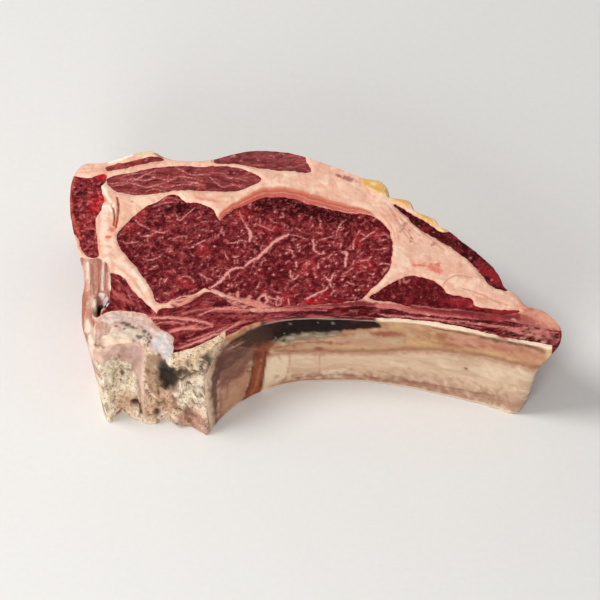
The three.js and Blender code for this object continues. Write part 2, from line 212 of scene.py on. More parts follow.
def smooth_loop(points, step):
    """A smooth closed curve through the points, divided into even steps."""
    p1 = np.array(points, float)
    p0, p2, p3 = np.roll(p1, 1, 0), np.roll(p1, -1, 0), np.roll(p1, -2, 0)
    gap = [np.sqrt(np.linalg.norm(b - a, axis=1))[:, None] for a, b in ((p0, p1), (p1, p2), (p2, p3))]
    leave = (p1 - p0) / gap[0] - (p2 - p0) / (gap[0] + gap[1]) + (p2 - p1) / gap[1]
    arrive = (p2 - p1) / gap[1] - (p3 - p1) / (gap[1] + gap[2]) + (p3 - p2) / gap[2]
    leave, arrive = leave * gap[1], arrive * gap[1]
    parts = []
    for t in np.arange(0, 1, 1 / 24):
        parts.append(
            p1 + leave * t + (3 * (p2 - p1) - 2 * leave - arrive) * t * t
            + (2 * (p1 - p2) + leave + arrive) * t ** 3
        )
    fine = np.stack(parts, 1).reshape(-1, 2)
    fine = np.vstack([fine, fine[:1]])
    length = np.concatenate([[0], np.cumsum(np.linalg.norm(np.diff(fine, axis=0), axis=1))])
    spots = np.linspace(0, length[-1], round(length[-1] / step), endpoint=False)
    return np.stack([np.interp(spots, length, fine[:, k]) for k in (0, 1)], 1)


def outward(loop):
    """The direction away from a loop's inside, at each of its points."""
    run = np.roll(loop, -1, 0) - np.roll(loop, 1, 0)
    area = np.sum(loop[:, 0] * np.roll(loop[:, 1], -1) - loop[:, 1] * np.roll(loop[:, 0], -1))
    side = np.stack([run[:, 1], -run[:, 0]], 1) * (1 if area > 0 else -1)
    return side / np.linalg.norm(side, axis=1)[:, None]


def rough(points, size, octaves, seed):
    """Soft random values from about -1 to 1 at points, with bumps of that size."""
    places = np.zeros((len(points), 3))
    places[:, :np.shape(points)[1]] = points
    places = places / size + seed
    return np.array([noise.fractal(Vector(p), 1.0, 2.0, octaves) for p in places])


def layered(points, rows, seed=0.0):
    """The sum of soft random values, from rows of their height, size, octaves and seed."""
    return sum(height * rough(points, size, octaves, seed + extra) for height, size, octaves, extra in rows)


def lumps(points, size, seed):
    """Rounded lumps, 1 at the top of each and 0 between them."""
    places = np.array(points) / size + seed
    return np.array([1 - min(1.0, noise.voronoi(Vector(p))[0][0]) for p in places])


def wavy_loop(points, seed):
    """The uneven edge of a muscle."""
    loop = smooth_loop(points, SEAM_STEP)
    return loop + outward(loop) * layered(loop, SEAM_WAVES, seed)[:, None]


OUTLINES = {
    "cartilage": CARTILAGE, "backbone": BACKBONE, "ligament": LIGAMENT, "rib_eye": RIB_EYE,
    "eye_lobe": EYE_LOBE, "cap_muscle": CAP, "back_strip": BACK_STRIP, "corner_strip": CORNER_STRIP,
    "chine_muscle": CHINE_MUSCLE, "outer_strip": OUTER_STRIP, "flank_muscle": FLANK_MUSCLE,
    "inner_wedge": INNER_WEDGE, "rib_meat": RIB_MEAT,
}
LOOPS = {node: wavy_loop(points, 3.7 * k) for k, (node, points) in enumerate(OUTLINES.items())}
SEAMS = np.vstack(list(LOOPS.values()))
RED = list(OUTLINES)[3:]  # the muscles
EDGE_LOOP = smooth_loop(EDGE, WALL_STEP)


def nearest(points, targets):
    """Distance from each flat point to the nearest target."""
    tree = kdtree.KDTree(len(targets))
    for k, spot in enumerate(targets):
        tree.insert((spot[0], spot[1], 0), k)
    tree.balance()
    return np.array([tree.find((p[0], p[1], 0))[2] for p in points])


def inside(points, loop):
    """Which of the flat points lie inside a loop."""
    x, y = points[:, 0], points[:, 1]
    result = np.zeros(len(points), bool)
    for (ax, ay), (bx, by) in zip(loop, np.roll(loop, -1, 0)):
        if ay != by:
            crosses = ((ay > y) != (by > y)) & (x < (bx - ax) * (y - ay) / (by - ay) + ax)
            result ^= crosses
    return result


# Solid shapes

def mesh_object(name, shape):
    mesh = bpy.data.meshes.new(name)
    shape.to_mesh(mesh)
    shape.free()
    piece = bpy.data.objects.new(name, mesh)
    bpy.context.scene.collection.objects.link(piece)
    return piece


def only_points(parts):
    return [part for part in parts if isinstance(part, bmesh.types.BMVert)]


def column(name, loop, low=BELOW, high=ABOVE, turned=False):
    """A closed column over a flat loop. A turned one lies along y, with its loop in x and z."""
    shape = bmesh.new()
    if turned:
        base = shape.faces.new([shape.verts.new((x, low, z)) for x, z in loop])
        way = (0, high - low, 0)
    else:
        base = shape.faces.new([shape.verts.new((x, y, low)) for x, y in loop])
        way = (0, 0, high - low)
    grown = bmesh.ops.extrude_face_region(shape, geom=[base])["geom"]
    bmesh.ops.translate(shape, verts=only_points(grown), vec=way)
    bmesh.ops.recalc_face_normals(shape, faces=shape.faces)
    return mesh_object(name, shape)


def read_points(mesh):
    flat = np.zeros(len(mesh.vertices) * 3)
    mesh.vertices.foreach_get("co", flat)
    return flat.reshape(-1, 3)


def write_points(mesh, points):
    mesh.vertices.foreach_set("co", np.ascontiguousarray(points, dtype=float).ravel())
    mesh.update()


def hollow_out(points, balls):
    """Pushes points of the front wall back, out of balls that lie across it."""
    for x, y, z, radius in balls:
        room = radius ** 2 - (points[:, 0] - x) ** 2 - (points[:, 2] - z) ** 2
        depth = y + np.sqrt(np.maximum(room, 0))
        points[:, 1] = np.where(room > 0, np.maximum(points[:, 1], depth), points[:, 1])


def shaped_wall(points, ways):
    """Moves the points of the straight wall to where the steak's outer side is."""
    x, y, z = points.T
    low = 1 - z / THICKNESS
    middle = np.maximum(0, np.sin(np.pi * low))
    front = smoothstep(-y, *FRONT_ZONE)
    left = smoothstep(-x, *LEFT_ZONE)
    soft = (1 - front) * (1 - left)
    top_inset = TOP_CHAMFER["inset"] * np.maximum(0, 1 - (THICKNESS - z) / TOP_CHAMFER["drop"]) ** 2
    base_inset = BASE_CHAMFER["inset"] * np.maximum(0, 1 - z / BASE_CHAMFER["rise"]) ** 2
    sawn = between(x, *SAWN_ZONE) * front
    deep = between(z, *ROUGH_ZONE)
    swell = soft * (EDGE_ALLOWANCE + SIDE_BULGE * middle) - top_inset - base_inset
    swell += soft * deep * layered(points, SIDE_LUMPS)
    swell += (front + left * (1 - front)) * deep * layered(points * (1, 1, 1.6), FRONT_LUMPS)
    torn = (x > CRAG["from"]) & (x < CRAG["to"])
    wave = [np.sin(x * a + z * b) for a, b in (CRAG["along"], CRAG["across"])]
    crag = torn * CRAG["depth"] * middle * wave[0] * wave[1]
    out = points.copy()
    out[:, :2] += ways * swell[:, None]
    out[:, 0] += -smoothstep(x, *TIP_ZONE) * along(TIP_CUT, z) + left * along(LEFT_LEAN, y) * low
    out[:, 1] -= front * (along(FRONT_LEAN, x) * low + crag)
    shown = out.copy()
    hollow_out(out, [SMOOTH_HOLLOW])
    kept_smooth = np.minimum(1, np.abs(out[:, 1] - shown[:, 1]) * 2)
    out[:, 1] -= sawn * (1 - kept_smooth) * deep * BREAK_DEPTH * broken(out)
    hollow_out(out, PITS)
    return out


def steak_side():
    """Everything within the steak's outer side, as a fine closed wall with flat ends."""
    shape = bmesh.new()
    way = shape.verts.layers.float_vector.new("way")
    ring = []
    for spot, side in zip(EDGE_LOOP, outward(EDGE_LOOP)):
        point = shape.verts.new((spot[0], spot[1], WALL_LEVELS[0]))
        point[way] = (side[0], side[1], 0)
        ring.append(point)
    edges = [shape.edges.new((ring[k - 1], ring[k])) for k in range(len(ring))]
    bmesh.ops.contextual_create(shape, geom=edges)
    for lower, upper in zip(WALL_LEVELS, WALL_LEVELS[1:]):
        grown = bmesh.ops.extrude_edge_only(shape, edges=edges)["geom"]
        lifted = set(only_points(grown))
        bmesh.ops.translate(shape, verts=list(lifted), vec=(0, 0, upper - lower))
        edges = [e for e in grown if isinstance(e, bmesh.types.BMEdge) and set(e.verts) <= lifted]
    bmesh.ops.contextual_create(shape, geom=edges)
    bmesh.ops.recalc_face_normals(shape, faces=shape.faces)
    ways = np.array([v[way][:2] for v in shape.verts])
    side = mesh_object("steak_side", shape)
    write_points(side.data, shaped_wall(read_points(side.data), ways))
    return side


def cut_face(x, y):
    """Height of the upper cut face, without its fine detail."""
    a, b, c, d = RELIEF["waves"]
    return THICKNESS - RELIEF["height"] * (1 - np.sin(x / a + np.sin(y / b)) * np.cos(y / c - x / d))


def detailed_face(points):
    """The upper cut face: muscles lie a little lower than the fat, with a fine groove between them."""
    flat = points[:, :2]
    gap = nearest(flat, SEAMS)
    red = np.zeros(len(flat), bool)
    for node in RED:
        red |= inside(flat, LOOPS[node])
    step = np.where(red, -1, 1) * smoothstep(gap, 0, FACE["step_width"])
    height = cut_face(flat[:, 0], flat[:, 1])
    height += FACE["step"] * step - FACE["groove"] * np.exp(-((gap / FACE["groove_width"]) ** 2))
    height += layered(flat, FACE_LUMPS)
    height -= FACE["fold"] * smoothstep(strength(flat, [*WRINKLES, *FOLDS]), -1.5, 1)
    height -= FACE["crevice"] * smoothstep(strength(flat, CREVICE), -0.8, 1)
    height += FACE["flake"] * smoothstep(strength(flat, YELLOW_FLAKES), 0, 0.8)
    bone = inside(flat, LOOPS["backbone"]) | inside(flat, LOOPS["cartilage"])
    height += bone * FACE["bone"] * rough(flat, 3.0, 3, 2.5)
    for x, y, _, radius in TORN_HOLES:
        away = np.hypot(flat[:, 0] - x, (flat[:, 1] - y) * 0.7)
        height -= FACE["hole"] * (1 - smoothstep(away, radius * 0.3, radius))
    sinew = inside(flat, LOOPS["ligament"])
    height += sinew * FACE["sinew"] * rough(flat * (1, 0.25), 3.2, 2, 9.1)
    return np.minimum(height, THICKNESS + FACE["highest"])


def block(name, cell, rise, shaping=None):
    """A block with a fine grid of points on one flat side, which shaping lifts."""
    low, high = np.min(EDGE, 0) - PIECE_MARGIN - LEAN_ROOM, np.max(EDGE, 0) + PIECE_MARGIN
    size = high - low
    across, up = [round(s / cell) for s in size]
    shape = bmesh.new()
    bmesh.ops.create_grid(shape, x_segments=across, y_segments=up, size=0.5)
    bmesh.ops.scale(shape, vec=(*size, 1), verts=shape.verts)
    bmesh.ops.translate(shape, vec=(*(low + high) / 2, 0), verts=shape.verts)
    count = len(shape.verts)
    grown = bmesh.ops.extrude_face_region(shape, geom=list(shape.faces), use_keep_orig=True)["geom"]
    shape.verts.index_update()
    bmesh.ops.translate(shape, vec=(0, 0, rise), verts=only_points(grown))
    bmesh.ops.recalc_face_normals(shape, faces=shape.faces)
    made = mesh_object(name, shape)
    if shaping is not None:
        points = read_points(made.data)
        points[:count, 2] = shaping(points[:count])
        write_points(made.data, points)
    return made


def combine(piece, tool, operation, name):
    """A new object that holds what a Boolean leaves of piece and tool."""
    change = piece.modifiers.new("cut", "BOOLEAN")
    change.operation = operation
    change.solver = "MANIFOLD"
    change.object = tool
    bpy.context.view_layer.update()
    shown = piece.evaluated_get(bpy.context.evaluated_depsgraph_get())
    mesh = bpy.data.meshes.new_from_object(shown)
    mesh.name = name
    piece.modifiers.remove(change)
    result = bpy.data.objects.new(name, mesh)
    bpy.context.scene.collection.objects.link(result)
    return result


def discard(*pieces):
    for piece in pieces:
        bpy.data.meshes.remove(piece.data)


def rib_tool():
    """A rib is what its side view and its view from above have in common."""
    tip, tip_top = RIB_BACK[-1][0], RIB_TOP[-1][1]
    xs = np.arange(RIB_TOP[0][0], tip, RIB_STEP)
    upper = along(RIB_TOP, xs) + layered(np.stack([xs, xs * 0], 1), RIB_WAVES)
    side_view = [(xs[0], BELOW), (tip, BELOW), (tip, tip_top), *zip(xs[::-1], upper[::-1])]
    side = column("rib_side", side_view, AHEAD, 0, turned=True)
    plan = column("rib_plan", [*RIB_BACK, (tip, AHEAD), (RIB_BACK[0][0], AHEAD)])
    rib = combine(side, plan, "INTERSECT", "rib_tool")
    discard(side, plan)
    return rib


def membrane_tool(side):
    """The membrane is the outermost layer of the front wall, above the rib."""
    zone = column("membrane_zone", MEMBRANE_ZONE)
    inner = side.copy()
    inner.data = side.data.copy()
    bpy.context.scene.collection.objects.link(inner)
    inner.data.transform(Matrix.Translation((0, MEMBRANE, 0)))
    layer = combine(zone, inner, "DIFFERENCE", "membrane_tool")
    discard(zone, inner)
    return layer


def cut_pieces():
    """Cuts the steak into its pieces, without gaps. Where two overlap, the earlier one stays whole."""
    side = steak_side()
    above = block("upper_block", TOP_CELL, -BLOCK_RISE, detailed_face)
    below = block("lower_block", BASE_CELL, BLOCK_RISE)
    within = combine(side, above, "INTERSECT", "within")
    rest = combine(within, below, "INTERSECT", "rest")
    tools = {"rib_bone": rib_tool(), "pleura": membrane_tool(side)}
    for node, loop in LOOPS.items():
        low = THICKNESS - CARTILAGE_DEPTH if node == "cartilage" else BELOW
        tools[node] = column(node + "_tool", loop, low)
    discard(side, above, below, within)
    pieces = {}
    for node, tool in tools.items():
        pieces[node] = combine(rest, tool, "INTERSECT", NAMES[node])
        left = combine(rest, tool, "DIFFERENCE", "rest")
        discard(rest, tool)
        rest = left
    pieces["fat"] = rest
    rest.name = rest.data.name = NAMES["fat"]
    return pieces


# Names of the pieces, and the record's slots that their finishes come from
NAMES = {
    "rib_bone": "whole_rib", "pleura": "rib_membrane", "cartilage": "cartilage_cap",
    "backbone": "sawn_backbone", "ligament": "torn_ligament", "rib_eye": "eye_of_the_rib",
    "eye_lobe": "side_lobe", "cap_muscle": "veined_cap", "back_strip": "strip_at_the_back",
    "corner_strip": "strip_at_the_corner", "chine_muscle": "meat_along_the_chine",
    "outer_strip": "strip_at_the_outside", "flank_muscle": "meat_beside_the_eye",
    "inner_wedge": "wedge_above_the_backbone", "rib_meat": "meat_between_the_ribs", "fat": "fat_cover",
}
SLOTS = {part["node"]: part["material_slot"] for part in frame["record"]["subparts"]}


# Colours that are laid on the points of a piece, in coats

def tone(red, green, blue):
    """A colour given as it is seen, from 0 to 255, for a colour socket."""
    seen = [v / 255 for v in (red, green, blue)]
    return (*[v / 12.92 if v <= 0.04045 else ((v + 0.055) / 1.055) ** 2.4 for v in seen], 1.0)


TOP, FRONT = (0, 1), (0, 2)  # the two coordinates that place a mark on the cut face and on the front wall
FAR = -4.0  # strength of a mark well outside it
VEIN_REACH = 2.5  # how far from its corners a fat line counts
VEIN_TAPER = 0.6  # how much of its width a fat line loses at its ends
VEIN_SLANT = (0.35, 0.2)  # how fat lines slant down the sides
MARK_FADE = (28, 46)  # heights between which the marks of the cut face fade out


def rounded(corners):
    """The corners of a path, cut off twice, so that it bends softly."""
    path = np.array(corners, float)
    for _ in range(2):
        near, far = path[:-1] * 0.75 + path[1:] * 0.25, path[:-1] * 0.25 + path[1:] * 0.75
        path = np.vstack([path[:1], np.stack([near, far], 1).reshape(-1, 2), path[-1:]])
    return path


def gap_to_step(spots, start, end):
    """How far along a straight step each flat point lies, from 0 to 1, and its distance from the step."""
    step = end - start
    t = np.clip((spots - start) @ step / max(1e-9, step @ step), 0, 1)
    return t, np.linalg.norm(spots - start - t[:, None] * step, axis=1)


def gap_to_path(spots, path):
    """Distance from each flat point to a path."""
    gap = np.full(len(spots), np.inf)
    for a, b in zip(path, path[1:]):
        gap = np.minimum(gap, gap_to_step(spots, a, b)[1])
    return gap


def line_strength(spots, half_width, corners):
    return 1 - gap_to_path(spots, rounded(corners)) / half_width


def area_strength(spots, corners):
    path = rounded([*corners, corners[0]])
    gap = gap_to_path(spots, path)
    return np.where(inside(spots, path[:-1]), gap, -gap)


def spot_strength(spots, u, v, half_u, half_v, turn=0.0):
    du, dv, angle = spots[:, 0] - u, spots[:, 1] - v, math.radians(turn)
    along_u = du * math.cos(angle) + dv * math.sin(angle)
    along_v = dv * math.cos(angle) - du * math.sin(angle)
    return 1 - np.hypot(along_u / half_u, along_v / half_v)


def near_corners(spots, corners, reach):
    """Numbers of the flat points that lie within reach of the box round the corners."""
    low, high = np.min(corners, 0) - reach, np.max(corners, 0) + reach
    return np.flatnonzero(np.all((spots > low) & (spots < high), axis=1))


def strength(spots, shapes):
    """How strongly each flat point is in one of the shapes: above 0 inside, below 0 outside.

    A line is half its width and its corners. An area is its corners, with strengths in millimetres.
    A spot is its middle, half its size each way and, where it is turned, its angle.
    """
    best = np.full(len(spots), FAR)
    for shape in shapes:
        if isinstance(shape, list):
            make, given, corners, reach = area_strength, [shape], shape, -FAR
        elif len(shape) == 2:
            make, given, corners, reach = line_strength, shape, shape[1], (1 - FAR) * shape[0]
        else:
            make, given, corners, reach = spot_strength, shape, [shape[:2]], -FAR * max(shape[2:4])
        near = near_corners(spots, corners, reach)
        if len(near):
            best[near] = np.maximum(best[near], make(spots[near], *given))
    return best


class Coats:
    """The colour of each point of a piece, laid on coat by coat, with uneven edges."""

    def __init__(self, points, colour):
        self.points = points
        self.colour = np.tile(np.array(colour), (len(points), 1))
        self.wobble = rough(points, 3.0, 3, 21.0)

    def lay(self, colour, amount):
        self.colour += (np.array(colour) - self.colour) * np.clip(amount, 0, 1)[:, None]

    def lay_where(self, colour, amount, value, low, high):
        """Lays a colour that sets in while a value passes from low to high."""
        self.lay(colour, amount * smoothstep(value, low, high))

    def cloud(self, colour, size, low, high, amount, scale=(1, 1, 1), seed=50.0):
        """Patches of colour, where soft random values pass from low to high."""
        self.lay_where(colour, amount, rough(self.points * scale, size, 3, seed), low, high)

    def marks(self, plane, rows, share=1.0):
        """Rows of colour, amount, softness of the edge, its unevenness, and shapes."""
        for colour, amount, soft, uneven, shapes in rows:
            inwards = strength(self.points[:, plane], shapes) + uneven * self.wobble
            self.lay_where(colour, share * amount, inwards, -soft / 2, soft / 2 + 0.01)


def line_depth(spots, half_width, corners):
    """How deep in a line that thins towards its ends each flat point is, in millimetres."""
    path = rounded(corners)
    depth = np.full(len(spots), FAR)
    for k, (a, b) in enumerate(zip(path, path[1:])):
        t, gap = gap_to_step(spots, a, b)
        share = (k + t) / (len(path) - 1)
        depth = np.maximum(depth, half_width * (1 - VEIN_TAPER * np.abs(2 * share - 1) ** 3) - gap)
    return depth


def vein_depth(spots, lines):
    """How deep in the deepest of the lines each flat point is."""
    best = np.full(len(spots), FAR)
    for half_width, corners in lines:
        near = near_corners(spots, corners, VEIN_REACH)
        if len(near):
            best[near] = np.maximum(best[near], line_depth(spots[near], half_width, corners))
    return best


def scattered_fat(node, spacing, length, half_width, turn, spread, seed):
    """Fat all over a muscle: flecks, short crooked lines, and faint longer ones that lighten the red."""
    chance = np.random.default_rng(seed)  # the order of its draws decides where the marks lie
    loop = LOOPS[node]
    across, up = [np.arange(loop[:, k].min(), loop[:, k].max(), spacing) for k in (0, 1)]
    spots = np.stack(np.meshgrid(across, up), -1).reshape(-1, 2)
    spots = spots + chance.uniform(-0.6, 0.6, spots.shape) * spacing
    spots = spots[inside(spots, loop) & inside(spots, smooth_loop(EDGE, 2.0))]
    lean = (strength(spots, LEAN_PLACES) > -0.1) & (chance.random(len(spots)) < 0.85)
    lines = []
    for spot in spots[~lean]:
        heading = math.radians(turn) + chance.normal(0, spread)
        kind = chance.random()
        if kind < FLECKS:
            half, parts, run = half_width * chance.uniform(0.7, 1.6), 1, 0.35 * length
        elif kind < FLECKS + SHORT_LINES:
            half, parts, run = half_width * chance.uniform(0.4, 1.1), chance.integers(2, 4), 0.7 * length
        else:
            half, parts, run = -chance.uniform(0.1, 0.6), chance.integers(2, 6), 0.9 * length
        path = [spot]
        for _ in range(parts):
            step = run * chance.uniform(0.5, 1.4)
            path.append(path[-1] + step * np.array([math.cos(heading), math.sin(heading)]))
            heading += chance.normal(0, 0.6 * min(1.0, spread))
        lines.append((half, path))
        if parts > 1 and chance.random() < FORKED:
            fork = heading + chance.choice([-1.2, 1.2])
            end = path[1] + 0.8 * length * np.array([math.cos(fork), math.sin(fork)])
            lines.append((half - 0.06, [path[1], end]))
    return lines


def keep(piece, name, values, kind="FLOAT", field="value"):
    """Keeps values on the points of a piece, where its finish reads them."""
    layer = piece.data.attributes.new(name, kind, "POINT")
    layer.data.foreach_set(field, np.asarray(values, np.float32).ravel())


# Fat lines that cross the muscles on the upper face, by half their width
MEAT_LINES = {
    0.22: [
        [(-78.5, 39.4), (-76.8, 41.9), (-73.6, 42.7), (-69.9, 40.9)],
    ],
    0.24: [
        [(-99.5, 55.3), (-96.6, 57.1), (-91.7, 57.8), (-86.7, 58.8)],
        [(-66.9, 54.6), (-64.9, 52.7), (-60.9, 52.1), (-57, 49.5)],
        [(-83.3, 35.6), (-78.9, 38.1), (-75.5, 39.2), (-70.1, 39.4)],
    ],
    0.27: [
        [(2.3, 28.9), (3, 24.5), (2.5, 21.8)], [(33.9, -7), (37.3, -5.3)], [(32, 13), (36.8, 14.4)],
        [(30.7, 16.6), (36.2, 17.4)],
    ],
    0.28: [
        [(-94, 53.2), (-89.6, 53.4), (-86.6, 53.2), (-81.7, 55.3), (-78.7, 54.6)],
        [(-71.9, 61.7), (-67, 59.1), (-62, 57.2), (-59, 58.5), (-53.7, 57.8)],
        [(-75.7, 48.9), (-71.8, 50), (-66.8, 51.3), (-61.9, 50.8)],
        [(-86.5, 46.3), (-82.6, 48.1), (-78.6, 46.7), (-76.1, 46)],
        [(-47.5, 59), (-45.4, 55), (-40.2, 55.7), (-34.5, 53)], [(-71.2, 16), (-68.3, 17.3), (-65.4, 16.7)],
    ],
    0.29: [
        [(-64.4, -50.7), (-52.9, -46.3), (-43.7, -40.5)], [(-80.7, -40.5), (-73.8, -38.3), (-65.7, -39.7)],
    ],
    0.3: [
        [
            (-106.8, 51.4), (-101.4, 51.8), (-93.5, 51.8), (-86.5, 48.3), (-82.6, 50.2), (-79.7, 50.2),
            (-76.7, 48.3),
        ],
        [
            (-97, 52.1), (-94.5, 54.6), (-91.6, 53.4), (-88.6, 55.9), (-85.7, 57.8), (-82.8, 60.1),
            (-79.8, 60.5),
        ],
        [(-76.2, 52.7), (-72.8, 55.3), (-67.9, 56.6), (-63, 55.3), (-58, 53.4)],
        [(-54.2, 57), (-51.6, 52.4), (-47.4, 49), (-42.3, 51), (-35.5, 48.4)],
        [(-72, 33), (-71, 29.9), (-69.4, 26.1), (-66.5, 29.9), (-64.1, 33), (-61.2, 35.6)],
        [(-85.7, 17.3), (-85.6, 13.5)], [(-86.6, 1.7), (-82.7, 1.7), (-79.8, 2.3), (-77.9, 5.4)],
        [(42.8, -10.9), (43.2, -14.5)],
    ],
    0.34: [
        [(-13.1, 18.3), (-8.3, 17), (-3.5, 14.6)],
        [(-45.3, 12.2), (-41.9, 12.2), (-37.8, 14.1), (-34.2, 12.9)],
        [(-37.9, 32.9), (-37.3, 28.9), (-36.1, 25.8)], [(-14.5, 8.7), (-11.8, 7.8), (-11.1, 4.3)],
        [(-7.5, 10.4), (-8, 6.5)], [(30.6, 7.8), (33.7, 8), (37.5, 9.1)], [(15.5, -7.9), (19.6, -4.4)],
        [(1.3, -4), (1.9, -0.5)], [(-5.6, -1.6), (-2.2, -0.9)],
        [(16.4, 28), (13.3, 25.4), (11.5, 20.1), (11, 16.6)], [(9.5, 16.6), (6, 14.8), (2.6, 14.8)],
        [(20.3, 0.8), (18.9, -2.7)], [(32.6, -2.7), (36, -0.9), (38.7, -2.7)],
        [(-92.5, 28), (-90, 24.8), (-87, 23.6), (-84.5, 21.7)],
        [(-83.5, 21), (-80.6, 19.8), (-77.6, 19.2), (-75.2, 21)],
        [(-97.8, 12.9), (-94.6, 12.6), (-90.7, 13.5)],
        [(-69.3, -11.4), (-67.4, -9.5), (-64, -9.5), (-61, -13.2)],
        [(-59.2, -7.7), (-56.2, -8.9), (-54.2, -13.2)],
        [(-116.9, 21.7), (-113.9, 22.2), (-111.5, 21.4), (-111.7, 16.7)],
    ],
    0.35: [
        [(31.8, -33.2), (37.9, -35.1), (43.3, -35.9)],
    ],
    0.4: [
        [(-89.3, 17.3), (-85.9, 17.6), (-83.2, 17.6)], [(-60.4, 11), (-58, 12.9), (-55.5, 14.1)],
        [(-84, -4.6), (-81.6, -3.3), (-80.2, -2.1)], [(-76.1, -13.2), (-74.7, -10.8)],
        [(-52.8, -30.9), (-43.5, -30.5), (-32.5, -31.2)],
        [(33.2, -33.3), (44.8, -35.2), (56.4, -36.2), (67.9, -38.1), (73.3, -39.1)],
        [(71.8, -38.1), (82.5, -39.6), (91.8, -41.1), (101, -42.5), (107.2, -42.1)],
    ],
    0.41: [
        [(-28.9, 24), (-25.5, 22.3), (-21, 19.9)], [(-45.9, 6), (-45.2, 3.4), (-44.2, 1.5)],
        [(-41.8, 3.2), (-39.1, 4.3)], [(22.4, 1), (25.8, 0.4), (29.2, 3.4)],
        [(23.1, 12.9), (26.6, 16.6), (30.7, 19.8)], [(16.1, -13.1), (20.2, -15)],
        [(-9.7, 0.8), (-9.4, -2.7)], [(-19.9, -25.2), (-19.2, -28.6)], [(13.6, 12.2), (12.9, 8.7)],
    ],
    0.45: [
        [(-58.8, -34.7), (-48.4, -29.6), (-37.5, -29.5)],
        [(48.8, -27.4), (58.8, -29.8), (70.4, -31.3), (82.7, -33.3), (95, -35.2), (101.2, -36.2)],
    ],
    0.48: [
        [(-13.1, -4.4), (-12.8, -8.8), (-11.1, -11.5), (-8, -8.3)], [(19.6, 12.2), (20.2, 7.4)],
        [(7.4, -13.1), (8.3, -16.5)], [(-23.9, -22.2), (-20.2, -24.5), (-17.1, -22.8)],
        [(-16.5, -22.6), (-17.8, -25.2)], [(-13.1, -23.4), (-13.1, -27.7)],
    ],
    0.5: [
        [(-73, -26), (-67.7, -22.6), (-62.4, -21.6)],
        [(-76, -46.7), (-66.8, -42.8), (-58.1, -42.8), (-51.2, -41.3)],
        [(-70.1, -55.5), (-59.7, -51.4), (-48.3, -46), (-37.5, -38.6)],
        [(45.1, -10.1), (46.1, -14), (48.2, -11.4)],
    ],
    0.55: [
        [(-1.2, 14.8), (-0.1, 11.3), (-0.7, 7.8), (1.6, 5.2), (5.3, 5.6)],
        [(4.6, -8.3), (5.6, -10.9), (7.4, -13.1), (10.1, -7)],
    ],
    0.6: [
        [(-86.6, -36.8), (-78.5, -36.1), (-70.4, -36.8), (-58.8, -37.7), (-51.2, -40.5)],
    ],
    0.62: [
        [(-28, -22.6), (-25.3, -20.9), (-23.9, -25.2)],
        [(-4.9, -24.3), (-0.2, -21.3), (4.6, -18.7), (6.6, -16.5)],
    ],
    0.7: [
        [(-30.6, 2.2), (-27.2, 5), (-23.6, 9.8)],
    ],
    0.76: [
        [(15.2, 6.5), (16.9, 5.2), (15.9, 0.8), (15.4, -3.5)],
    ],
    0.78: [
        [(-53.8, -17), (-49.8, -14.6), (-46.8, -11.4), (-43.4, -5.3), (-39.7, -4), (-35.6, -3.4)],
    ],
    0.8: [
        [(-34.8, 22.7), (-32.9, 20.1), (-32.3, 15.7), (-33.1, 12.6)],
    ],
    0.9: [
        [(-35.6, -2.7), (-33.6, 0.4), (-29.5, 3), (-26.1, 6), (-21.3, 13), (-17.2, 15.7), (-13.1, 18.3)],
        [(-52.8, -17.5), (-47.7, -20.5), (-41.8, -23.8), (-36.7, -26.5)],
    ],
}
FAT_DOTS = [
    (-28.1, -4.4), (-23.1, -4.4), (-42.2, -15.3), (-18.8, -22.6), (-9.6, -0.2), (-4.2, -7.9), (1.9, -4),
    (11.4, -0.9), (27, -15.7), (22.2, -18.3), (-14.5, 5.6), (18.3, 9.5), (7.3, -2.7), (25.7, -3.5),
    (-17.2, -4.4), (-21.3, -7.9), (-28.7, -15.7), (0.5, -9.6), (14.1, -11.4), (10, -19.1), (20.2, -9.6),
    (-9, 11.3), (8.7, 4.3), (29.8, -7.9), (-74.5, 7.3), (-62.3, 9.8), (79.6, 2.3), (83.3, -6.6),
    (90.1, -12.6),
]
# Spacing, length, half width, direction and its spread, of the small fat marks in each muscle
SCATTER = {
    "rib_eye": (3.1, 1.6, 0.29, 62, 0.8), "eye_lobe": (3.3, 1.6, 0.27, 45, 0.8),
    "cap_muscle": (4.4, 4, 0.17, 2, 0.2), "back_strip": (3.4, 3.2, 0.2, 2, 0.2),
    "corner_strip": (4.4, 2.2, 0.16, 20, 0.2), "chine_muscle": (2.8, 1.2, 0.27, 80, 1),
    "outer_strip": (7, 0.8, 0.16, -50, 1), "flank_muscle": (8, 0.9, 0.16, -10, 0.8),
    "inner_wedge": (3.6, 2.2, 0.2, -50, 0.3), "rib_meat": (5, 3, 0.14, 6, 0.22),
}
# The share of them that are flecks and short lines. The rest are faint longer lines.
FLECKS = 0.28
SHORT_LINES = 0.28
FORKED = 0.3  # share of the lines that fork
# Dark lean places that hardly any small fat marks cross; the first is the painted shadow along the eye's
# top edge
LEAN_PLACES = [
    (5, [(-27, 38.4), (-15, 38.6), (-2, 34.6), (8, 30.8), (15, 28.5)]), (-69.6, 35, 6.4, 3.9),
    (-19.9, -6.2, 6.2, 7), (-48, 4.5, 4.1, 6.2), (-79.2, 24.2, 4.4, 2.5), (-92.5, 2.9, 4.4, 5.4),
]

